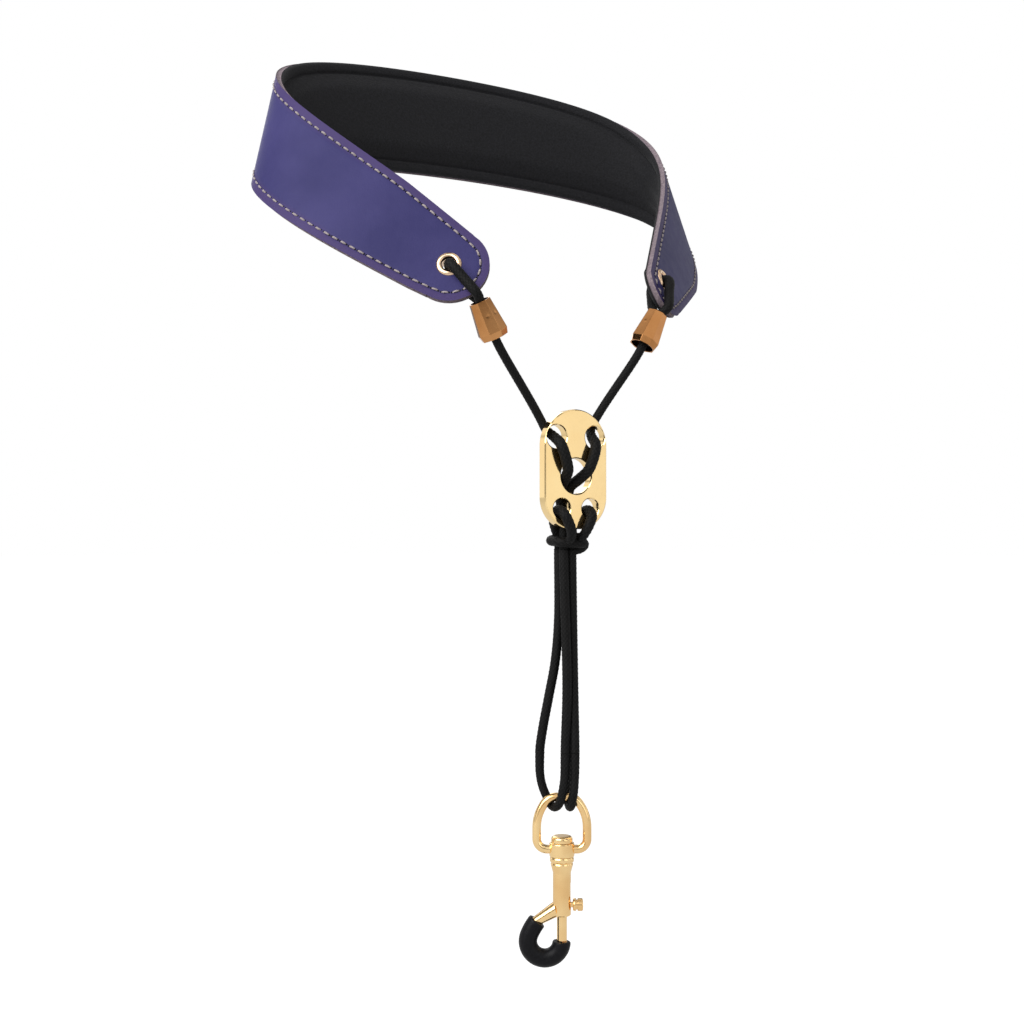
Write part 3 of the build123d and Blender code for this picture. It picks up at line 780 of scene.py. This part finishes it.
def needle_hole(guide, distance):
    """Points of a shallow dark dimple that paints the shade of a needle hole: its middle, then its
    rim.
    """
    point, out, ahead, across = guide(distance)
    rim = [
        point - out * 0.16 + (ahead * cos(turn) + across * sin(turn)) * NEEDLE_HOLE
        for turn in circle(NEEDLE_SIDES)
    ]
    return [point + out * 0.03] + rim


def stitch(guide, start):
    """Points of one twisted thread that rises from a hole and dives into the next."""
    points = []
    for r in range(STITCH_RINGS):
        part = r / (STITCH_RINGS - 1)
        point, out, _, across = guide(start + STITCH_LENGTH * part)
        rise = -0.42 + 0.62 * sin(pi * part) ** 0.6
        fat = THREAD * (0.72 + 0.28 * sin(pi * part))
        for turn in circle(THREAD_SIDES):
            twist = 1 + 0.10 * sin(3 * turn + 9 * part)
            height = rise + fat * 0.8 * twist * sin(turn)
            points.append(point + out * height + across * fat * twist * cos(turn))
    return points


def make_stitches():
    """Running stitch round the band: arched thread between two needle holes, each a dark dimple of
    painted shade.
    """
    total, guide = stitch_guide()
    count = round(total / STITCH_PITCH)
    pitch = total / count
    points, faces, dark, shade_disc_faces = [], [], [], []
    for k in range(count):
        start = k * pitch
        for end in (start, start + STITCH_LENGTH):
            hub = len(dark)
            rim = hub + 1
            # each needle hole gets a dark dimple of painted shade
            dark += needle_hole(guide, end)
            shade_disc_faces += [(hub, rim + m, rim + (m + 1) % NEEDLE_SIDES) for m in range(NEEDLE_SIDES)]
        faces += tube_faces(len(points), STITCH_RINGS, THREAD_SIDES)
        points += stitch(guide, start)
    thread = new_mesh("stitch_thread", points, faces, [THREAD_YARN])
    settle(thread, "neck_band", "edge_stitching")
    holes = new_mesh("needle_hole_shade_discs", dark, shade_disc_faces, [NEEDLE_HOLE_SHADE])
    settle(holes, "neck_band")


# ---------------- cord


def between(before, start, end, after, part):
    """Point part of the way from start to end on a centripetal Catmull-Rom curve."""
    t0 = 0.0
    t1 = t0 + sqrt((start - before).length)
    t2 = t1 + sqrt((end - start).length)
    t3 = t2 + sqrt((after - end).length)
    t = t1 + (t2 - t1) * part

    def mix(a, b, low, high):
        """Blend of two points by where t lies between two knots."""
        return (a * (high - t) + b * (t - low)) / (high - low)

    first = mix(before, start, t0, t1)
    middle = mix(start, end, t1, t2)
    last = mix(end, after, t2, t3)
    return mix(mix(first, middle, t0, t2), mix(middle, last, t1, t3), t1, t2)


def smooth_path(points, start_way, end_way, spacing):
    """Evenly stepped smooth curve through the points, leaving in the given directions."""
    points = [Vector(point) for point in points]
    before = points[0] - start_way * (points[1] - points[0]).length
    after = points[-1] + end_way * (points[-1] - points[-2]).length
    line = [before, *points, after]
    fine = []
    for i in range(1, len(line) - 2):
        for j in range(24):
            fine.append(between(*line[i - 1 : i + 3], j / 24))
    fine.append(points[-1])
    lengths = lengths_along(fine)
    steps = max(3, round(lengths[-1] / spacing))
    even = []
    for k in range(steps + 1):
        index, part = segment_at(lengths, lengths[-1] * k / steps)
        even.append(fine[index] + (fine[index + 1] - fine[index]) * part)
    return even


def carrier_height(around, along):
    """Relief of a two-over-two diagonal braid, 0 in the gaps and 1 on a carrier's crown."""
    a = around * BRAID_STRANDS + along / BRAID_LAY
    b = around * BRAID_STRANDS - along / BRAID_LAY
    over = (floor(a) + floor(b)) % 2 == 0
    across, length = (a % 1.0, b % 1.0) if over else (b % 1.0, a % 1.0)
    return (sin(pi * across) ** 0.7) * (0.45 + 0.55 * sin(pi * length))


def braided(name, run, radius=CORD, swell=0.0):
    """Braided cord along a run of (points, start way, end way), fatter between its ends."""
    corners, start_way, end_way = run
    start_way = Vector(start_way).normalized()
    end_way = Vector(end_way).normalized()
    line = smooth_path(corners, start_way, end_way, BRAID_STEP)
    lengths = lengths_along(line)
    side = start_way.cross(Vector((0.3, 1, 0.1))).normalized()
    last = len(line) - 1
    points, relief = [], []
    for i, point in enumerate(line):
        way = (line[min(i + 1, last)] - line[max(i - 1, 0)]).normalized()
        if i == 0:
            way = start_way
        if i == last:
            way = end_way
        side = (side - way * side.dot(way)).normalized()
        across = way.cross(side)
        fat = swell * smooth(4 * i / len(line)) * smooth(4 * (1 - i / len(line)))
        for k, turn in enumerate(circle(BRAID_SIDES)):
            height = carrier_height(k / BRAID_SIDES, lengths[i])
            reach = radius + fat - 0.6 * BRAID_RELIEF + BRAID_RELIEF * height
            points.append(point + (side * cos(turn) + across * sin(turn)) * reach)
            relief.append(height)
    faces = tube_faces(0, len(line), BRAID_SIDES)
    # the relief values also colour the braid: painted shade in its gaps
    return new_mesh(name, points, faces, [BRAID], ("relief", relief))


UP = (0, 0, 1)
DOWN = (0, 0, -1)
EYELET_FLANGE = 0.6
SEAT = 0.25                # depth pressed into the band under each eyelet flange
LAYER_GAP = 0.05
BELL_REACH = 18.1          # bell's mouth from the eyelet
BELL_SINK = 3.7            # mouth's centre behind the leather's face
BELL_DROOP = {"left": 15.0, "right": 20.0}
BELL_AXIS = (-0.47, 0.03, -0.882)
BELL_LENGTH = 15.0
KNOT_DEPTH = 8.6           # stopper knot's depth in the bell
KNOT_SIDES = 24
KNOT_CORD = 1.45
UPPER_SPLIT = (12.3, 4.1, 19.0)        # where a neck cord meets the slider
BUNDLE_Y = 5.95            # the four strands hang behind the plate
BUNDLE_HALF = (1.9, 1.85)
KNOT_Z = -28.0             # wrap round the bundle
LOBE_ANGLE = -55.0         # where its end doubles over
WRAP_STEPS = 44
LOWER_SPLIT_Z = -31.5
BIGHT_SPLIT_Z = -112.0
HANG_ANGLE = radians(-30.3)            # the hook's plane is turned from the band's
HANG_SHIFT = -1.3
BAR_Z = -129.9             # top bar of the ring
SLEEVE = 3.65
BEND = (-6.8, -187.1, 6.7)             # hook's bend: x, z and radius
SLEEVE_TOP = (-9.75, 0, -179.0)


def bell_frame(side):
    """Mouth centre, axis and outward direction of a bell."""
    origin, forward, upward, out = (flipped(v, side) for v in FRAMES[side])
    droop = radians(BELL_DROOP[side])
    along = forward * cos(droop) - upward * sin(droop)
    mouth = origin + along * BELL_REACH - out * BELL_SINK
    axis = Vector((BELL_AXIS[0] * SIDES[side], BELL_AXIS[1], BELL_AXIS[2])).normalized()
    across = (out - axis * out.dot(axis)).normalized()
    return mouth, axis, across


def make_loop(side):
    """Cord that runs over the leather, through the eyelet and back inside."""
    origin, _, _, out = (flipped(v, side) for v in FRAMES[side])
    mouth, axis, across = bell_frame(side)
    half = CORD + 0.03
    middle = mouth - origin
    along = (middle - out * middle.dot(out)).normalized()
    reach = middle.dot(along)

    def at(distance, height):
        """Point at a distance from the eyelet and a height over the leather."""
        return origin + along * distance + out * height

    def in_bell(depth, sign):
        """Point of the front or rear cord at a depth in the bell."""
        return mouth + axis * depth + across * half * sign

    bend = 3.1
    front = EYELET_FLANGE + CORD + 0.4
    back = -(LEATHER + 2 * LAYER_GAP + LINING - SEAT + 0.95 + CORD + 0.15)
    slant = 0.29 * bend
    points = [in_bell(depth, 1) for depth in (5.0, 2.0, -0.2)]
    points += [
        at(reach - 0.2, 0.2), at(reach - 1.4, 1.5), at(reach - 4.0, 1.95), at(reach * 0.45, 2.2),
        at(bend, front), at(slant, front - slant), at(0, front - bend),
        at(0, back + bend), at(slant, back + slant), at(bend, back),
        at(reach * 0.45, back), at(reach - 4.4, back + 0.15),
    ]
    points += [in_bell(depth, -1) for depth in (-0.2, 2.0, 5.0)]
    run = (points, -axis, axis)
    cord = braided(f"{side}_loop_braid", run, swell=0.25)
    settle(cord, "neck_band", f"{side}_cord_loop")


def make_stopper(side):
    """Overhand knot that sits inside the bell."""
    mouth, axis, across = bell_frame(side)
    third = axis.cross(across)
    centre = mouth + axis * KNOT_DEPTH
    points = []
    for turn in circle(KNOT_SIDES):
        reach = 1.65 + 0.75 * cos(1.5 * turn)
        place = across * reach * cos(turn) + third * reach * sin(turn) + axis * 1.5 * sin(1.5 * turn)
        points.append(centre + place)
    run = (points, points[1] - points[0], points[-1] - points[-2])
    settle(braided(f"{side}_stopper_knot", run, KNOT_CORD), "neck_band", f"{side}_knot")


def split_run(side):
    """Point and direction at which the neck cord reaches the slider plate."""
    sign = SIDES[side]
    return (sign * UPPER_SPLIT[0], UPPER_SPLIT[1], UPPER_SPLIT[2]), (-0.48 * sign, 0, -0.877)


def make_neck_cord(side):
    """Cord from the knot to the back of the slider plate."""
    mouth, axis, _ = bell_frame(side)
    start = mouth + axis * KNOT_DEPTH
    leave = mouth + axis * (BELL_LENGTH + 3)
    foot, direction = split_run(side)
    run = ([start, leave, foot], axis, direction)
    cord = braided(f"{side}_neck_braid", run)
    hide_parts(f"{side}_upper_cord")
    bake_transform(cord)


def on_side(side, points):
    """Right-hand points as they are on this side."""
    return [(SIDES[side] * x, y, z) for x, y, z in points]


def make_plate_cord(side):
    """Behind the plate, out through the upper hole, back in through the centre."""
    y = UPPER_SPLIT[1]
    half = BUNDLE_HALF[0]
    inner = (4.0, 3.5, 3.3) if side == "left" else (2.6, 0.5, 0.2)
    points = [
        UPPER_SPLIT, (10.4, 3.4, 15.4), (8.9, 0, 12.6), (8.2, -3.5, 10.0), (7.4, -4.5, 7.2),
        (5.9, -4.5, 2.8), (4.7, -3.5, -0.5), (inner[0], 0, -3.9), (inner[1], 3.3, -7.0),
        (inner[2], y + 0.05, -10.8), (half, y, -20.0), (half, y, LOWER_SPLIT_Z),
    ]
    run = (on_side(side, points), split_run(side)[1], DOWN)
    cord = braided(f"{side}_plate_braid", run, swell=0.45)
    settle(cord, "slider", f"{side}_plate_cord")


def make_tail_cord(side):
    """From the bundle through the lower hole and over the plate's foot to the knot."""
    rear = BUNDLE_Y + BUNDLE_HALF[1]
    points = [
        (BUNDLE_HALF[0], rear, LOWER_SPLIT_Z), (2.0, rear, -27.0), (3.5, 7.4, -23.5),
        (5.3, 5.8, -20.8), (6.2, 4.2, -18.9), (6.6, 2.2, -16.6), (6.6, 0, -16.1),
        (6.5, -2.2, -16.6), (6.1, -4.1, -18.4), (5.0, -4.5, -20.8), (3.4, -4.1, -24.2),
        (2.6, -2.6, -26.6), (2.3, -0.6, -28.0),
    ]
    run = (on_side(side, points), UP, (0, 0.9, -0.4))
    cord = braided(f"{side}_tail_braid", run, swell=0.35)
    settle(cord, "slider", f"{side}_tail_cord")


def snug(turn, gap):
    """Point of a cord laid tightly round the four bundled strands."""
    x, y = cos(turn), sin(turn)
    return Vector((
        BUNDLE_HALF[0] * 1.12 * x / (abs(x) + 0.12) + gap * x,
        BUNDLE_Y + BUNDLE_HALF[1] * 1.12 * y / (abs(y) + 0.12) + gap * y,
        0,
    ))


def make_wrap():
    """One snug turn round the bundle, whose end doubles over the start and tucks in."""
    gap = 2 * CORD - 0.25
    points = [snug(radians(LOBE_ANGLE - 14), gap - 2.4)]
    for k in range(WRAP_STEPS + 1):
        part = k / WRAP_STEPS
        lift = 2.5 * smooth((part - 0.88) / 0.09)
        points.append(snug(radians(LOBE_ANGLE - 8 + 362 * part), gap + lift))
        points[-1].z = 1.3 - 2.4 * part
    points[0].z = 1.4
    for turn, reach, drop in ((2, 2.2, -1.9), (9, 0.9, -3.1), (12, -1.2, -3.9), (12, -3.0, -4.2)):
        points.append(snug(radians(LOBE_ANGLE + turn), gap + reach))
        points[-1].z = drop
    points = [point + Vector((0, 0, KNOT_Z)) for point in points]
    run = (points, points[1] - points[0], points[-1] - points[-2])
    settle(braided("wrap_braid", run, swell=0.25), "slider", "wrap_knot")


def hang(point):
    """Puts a point of the snap hook's own plane under the bundle."""
    x, y, z = point
    x = x + HANG_SHIFT
    return Vector((
        x * cos(HANG_ANGLE) - y * sin(HANG_ANGLE),
        BUNDLE_Y + x * sin(HANG_ANGLE) + y * cos(HANG_ANGLE),
        z,
    ))


def in_hook_frame(x, y):
    """Plan position of a bundle strand in the hook's own plane."""
    turn = -HANG_ANGLE
    return x * cos(turn) - y * sin(turn) - HANG_SHIFT, x * sin(turn) + y * cos(turn)


# Each lower strand: its place in the bundle, its foot in the hook's plane, and its bow.
STRANDS = {
    "left_front_strand": ((-1, -1), (1.2, -3.7), [(1.9, -3.4, -86.0)]),
    "right_front_strand": ((1, -1), (5.0, -3.5), [(4.6, -0.9, -84.0)]),
    "left_rear_strand": (
        (-1, 1),
        (-8.7, 4.0),
        [(-1.3, 0.8, -60.0), (-2.6, 1.2, -76.0), (-5.3, 2.2, -91.0), (-7.5, 3.3, -103.0)],
    ),
    "right_rear_strand": ((1, 1), (2.4, 3.6), [(2.7, 3.2, -86.0)]),
}

# Each bight in the hook's plane, front to rear: offset along the bar, depth, height over the bar.
BIGHTS = {
    "left": [
        (0.9, -3.9, 8.0), (0.1, -3.9, 2.5), (-0.7, -3.5, -1.0), (-1.8, -2.2, -3.1), (-3.1, 0.2, -4.05),
        (-4.4, 2.7, -3.4), (-5.8, 4.1, -0.9), (-7.6, 4.5, 3.4), (-8.6, 4.3, 8.5),
    ],
    "right": [
        (4.9, -3.8, 8.0), (4.5, -4.0, 2.5), (4.05, -3.8, -0.3), (3.6, -2.8, -2.8),
        (3.1, -0.1, -3.95), (2.65, 2.65, -2.9), (2.4, 3.75, -0.4), (2.3, 3.9, 5.0),
    ],
}


def make_strands():
    """The four slack cords under the plate."""
    for name, (place, foot, bow) in STRANDS.items():
        top = in_hook_frame(place[0] * BUNDLE_HALF[0], place[1] * BUNDLE_HALF[1])
        points = [(*top, LOWER_SPLIT_Z), *bow, (*foot, BIGHT_SPLIT_Z)]
        run = ([hang(p) for p in points], DOWN, DOWN)
        cord = braided(f"{name}_braid", run, FULL_CORD)
        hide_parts(name)
        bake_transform(cord)


def make_bights():
    """The two turns of cord that carry the ring's top bar, squeezed thinner under it."""
    for side, bight in BIGHTS.items():
        points = [(*STRANDS[f"{side}_front_strand"][1], BIGHT_SPLIT_Z)]
        points += [(x, y, BAR_Z + rise) for x, y, rise in bight]
        points += [(*STRANDS[f"{side}_rear_strand"][1], BIGHT_SPLIT_Z)]
        run = ([hang(p) for p in points], DOWN, UP)
        cord = braided(f"{side}_bight_braid", run, FULL_CORD, CORD - FULL_CORD)
        settle(cord, "cord_bights", f"{side}_bight")


# ---------------- rubber sleeve


BEND_STEPS = 44
BEND_ARC = 205.0
LEG_STEPS = 8
SLEEVE_SIDES = 40
SLEEVE_STEPS = 60
# Section of a lip: distance from the hose's end and share of its radius.
LIP = [(0.0, 0.86), (0.12, 0.94), (0.35, 0.985)]
LIP_END = 0.9


def sleeve_line():
    """Middle line of the hose: round the hook's bend and up its back."""
    x, z, radius = BEND
    line = []
    for k in range(BEND_STEPS + 1):
        turn = radians(0 - BEND_ARC * k / BEND_STEPS)
        line.append(Vector((x + radius * cos(turn), 0, z + radius * sin(turn))))
    last = line[-1]
    way = (line[-1] - line[-2]).normalized()
    top = Vector(SLEEVE_TOP)
    for k in range(1, LEG_STEPS + 1):
        part = k / LEG_STEPS
        middle = last + way * (top - last).length * 0.5
        line.append(last * (1 - part) ** 2 + middle * 2 * part * (1 - part) + top * part ** 2)
    return line


def make_sleeve():
    """Rubber hose pushed over the hook's bend: rolled lips and a soft swell."""
    line = sleeve_line()
    lengths = lengths_along(line)
    total = lengths[-1]
    inner = total - LIP_END
    stations = [(0.0, 0.70), *LIP, (LIP_END, 1.0)]
    for k in range(1, SLEEVE_STEPS):
        distance = LIP_END + (inner - LIP_END) * k / SLEEVE_STEPS
        stations.append((distance, 1.0 + 0.012 * sin(pi * k / SLEEVE_STEPS)))
    stations += [(inner, 1.0), *((total - distance, share) for distance, share in reversed(LIP))]
    stations.append((total, 0.66))
    across = Vector((0, 1, 0))
    points = []
    for distance, share in stations:
        index, part = segment_at(lengths, distance)
        centre = line[index].lerp(line[index + 1], part)
        ahead = (line[min(index + 2, len(line) - 1)] - line[max(index - 1, 0)]).normalized()
        third = ahead.cross(across)
        for turn in circle(SLEEVE_SIDES):
            points.append(hang(centre + (across * cos(turn) + third * sin(turn)) * SLEEVE * share))
    faces = tube_faces(0, len(stations), SLEEVE_SIDES)
    sleeve = new_mesh("sleeve_skin", points, faces, [SLEEVE_RUBBER])
    settle(sleeve, "snap_hook", "rubber_sleeve")


# ---------------- metal

# Section of a rolled eyelet, radius and height over the leather, anticlockwise.
EYELET_SECTION = [
    (2.70, -4.00), (2.70, -0.20), (2.74, 0.20), (2.90, 0.50), (3.20, 0.72), (3.60, 0.82),
    (4.05, 0.78), (4.45, 0.61), (4.75, 0.34), (4.92, 0.05), (4.95, -0.20), (3.20, -0.25),
    (3.20, -3.70), (3.70, -3.72), (3.75, -3.86), (3.60, -4.00),
]
EYELET_TURNS = 72


def make_eyelet(side):
    """Eyelet with a rolled front rim and a barrel spread over the washer behind."""
    origin, forward, upward, out = (flipped(v, side) for v in FRAMES[side])
    width = len(EYELET_SECTION)
    points, faces = [], []
    for turn in circle(EYELET_TURNS):
        spoke = forward * cos(turn) + upward * sin(turn)
        points += [origin + spoke * reach + out * height for reach, height in EYELET_SECTION]
    for k in range(EYELET_TURNS):
        for m in range(width):
            a = k * width + m
            b = k * width + (m + 1) % width
            c = (k + 1) % EYELET_TURNS * width
            faces.append((a, b, c + (m + 1) % width, c + m))
    obj = new_mesh(f"{side}_rolled_eyelet", points, faces, [EYELET_GOLD])
    settle(obj, "neck_band", f"{side}_eyelet")


SPRING_WIRE = 0.25
SPRING_TURNS = 7
SPRING_STEPS = 28          # in one turn
SPRING_SIDES = 8


def make_spring():
    """Coil over the bolt, held by the barrel at its top and by the bolt at its foot."""
    low, high = (Vector(corner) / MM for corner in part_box("bolt_spring"))
    centre = (low + high) / 2
    reach = (high.x - low.x) / 2 - SPRING_WIRE
    rise = high.z - low.z - 2 * SPRING_WIRE
    steps = SPRING_TURNS * SPRING_STEPS
    points = []
    for k in range(steps + 1):
        turn = 2 * pi * k / SPRING_STEPS
        spoke = Vector((cos(turn), sin(turn), 0))
        level = high.z - SPRING_WIRE - rise * k / steps
        middle = Vector((centre.x, centre.y, level)) + spoke * reach
        for around in circle(SPRING_SIDES):
            up = Vector((0, 0, SPRING_WIRE * sin(around)))
            points.append(middle + spoke * SPRING_WIRE * cos(around) + up)
    faces = tube_faces(0, steps + 1, SPRING_SIDES)
    coil = new_mesh("bolt_coil", points, faces, [STEEL])
    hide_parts("bolt_spring")
    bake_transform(coil)


METAL = {
    "left_eyelet_washer": EYELET_GOLD,
    "right_eyelet_washer": EYELET_GOLD,
    "left_bell": BELL_BRASS,
    "right_bell": BELL_BRASS,
    "slider_plate": PLATE_GOLD,
    "swivel_eye": HOOK_GOLD,
    "swivel_rivet": HOOK_GOLD,
    "hook_body": HOOK_GOLD,
    "bolt": HOOK_GOLD,
    "thumb_knob": HOOK_GOLD,
}


def finish_metal():
    """Gives the rigid CAD pieces that stay visible their metal finish."""
    for name, finish in METAL.items():
        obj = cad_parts[name]
        obj.data.materials.clear()
        obj.data.materials.append(finish)


make_leather()
make_lining()
make_stitches()
for hand in SIDES:
    make_eyelet(hand)
    make_loop(hand)
    make_stopper(hand)
    make_neck_cord(hand)
    make_plate_cord(hand)
    make_tail_cord(hand)
make_wrap()
make_strands()
make_bights()
make_sleeve()
make_spring()
finish_metal()


# ---------------- stage, light, camera


FLOOR_LEVEL = -232.0
FLOOR_REACH = 7000
FLOOR_SIDES = 96
BRIGHT_WAY = (-0.62, -0.10, 0.78)      # the studio is brightest up and to the left
CAMERA_PLACE = (-313.86, -488.55, -16.77)
CAMERA_TURN = -0.5295
CAMERA_FIELD = 38.30


def make_floor():
    """Wide pale disc under the hanging strap."""
    points = [(0, 0, FLOOR_LEVEL)]
    points += [
        (FLOOR_REACH * cos(turn), FLOOR_REACH * sin(turn), FLOOR_LEVEL) for turn in circle(FLOOR_SIDES)
    ]
    faces = [(0, 1 + k, 1 + (k + 1) % FLOOR_SIDES) for k in range(FLOOR_SIDES)]
    floor_disc = plain_mesh("floor", points, faces)
    made, tree, shader = material("floor_paper")
    path = tree.add("LightPath", {}).outputs
    mirrored = tree.scaled(path["Is Glossy Ray"], 0.50, 0.04)
    tree.fill(shader, {
        "Base Color": (0.30, 0.30, 0.30, 1), "Roughness": 0.95, "Specular IOR Level": 0.0,
        "Emission Color": (1, 1, 1, 1),
        "Emission Strength": tree.scaled(path["Is Camera Ray"], 0.84, mirrored),
    })
    floor_disc.data.materials.append(made)


def make_world():
    """White to the camera, soft grey as light, and bright and dark cards in reflections."""
    world = bpy.data.worlds.new("studio")
    bpy.context.scene.world = world
    world.use_nodes = True
    tree = Shading(world.node_tree)
    way = tree.add("TexCoord", {}).outputs["Generated"]
    facing = tree.add("VectorMath", {0: way, 1: BRIGHT_WAY}, operation="DOT_PRODUCT").outputs["Value"]
    shade = tree.mapped(facing, (-1.0, 1.0), (0.02, 0.56))
    patches = tree.noise(2.6, 1.0, space="Generated")
    cards = tree.mapped(patches, (0.42, 0.54), (0.22, 1.02), "SMOOTHSTEP")
    path = tree.add("LightPath", {}).outputs
    mirrored = tree.mixed(path["Is Glossy Ray"], shade, cards)
    strength = tree.mixed(path["Is Camera Ray"], mirrored, 1.0)
    tree.fill(tree.nodes["Background"], {"Strength": strength, "Color": (1, 1, 1, 1)})


def softbox(name, place, target, size, power):
    """Square area light aimed at a point, all in millimetres."""
    data = bpy.data.lights.new(name, "AREA")
    data.shape = "SQUARE"
    data.size = size * MM
    data.energy = power
    lamp = placed_in_scene(name, data)
    lamp.location = Vector(place) * MM
    lamp.rotation_euler = (Vector(target) - Vector(place)).to_track_quat("-Z", "Y").to_euler()


def make_camera():
    """Level view from the wearer's front right, as in the catalogue picture."""
    data = bpy.data.cameras.new("camera")
    data.sensor_width = 36.0
    data.angle = radians(CAMERA_FIELD)
    data.clip_start = 0.01
    data.clip_end = 100.0
    camera = placed_in_scene("camera", data)
    camera.location = Vector(CAMERA_PLACE) * MM
    camera.rotation_euler = (radians(90), 0, CAMERA_TURN)
    bpy.context.scene.camera = camera


make_floor()
make_world()
softbox("key", (-860, -230, 560), (-40, 20, 100), 900, 9.8)
softbox("fill", (150, -880, 60), (0, 0, 0), 460, 0.3)
softbox("back", (120, 760, 420), (0, 60, 120), 500, 1.2)
make_camera()
bpy.context.scene.view_settings.view_transform = "Standard"
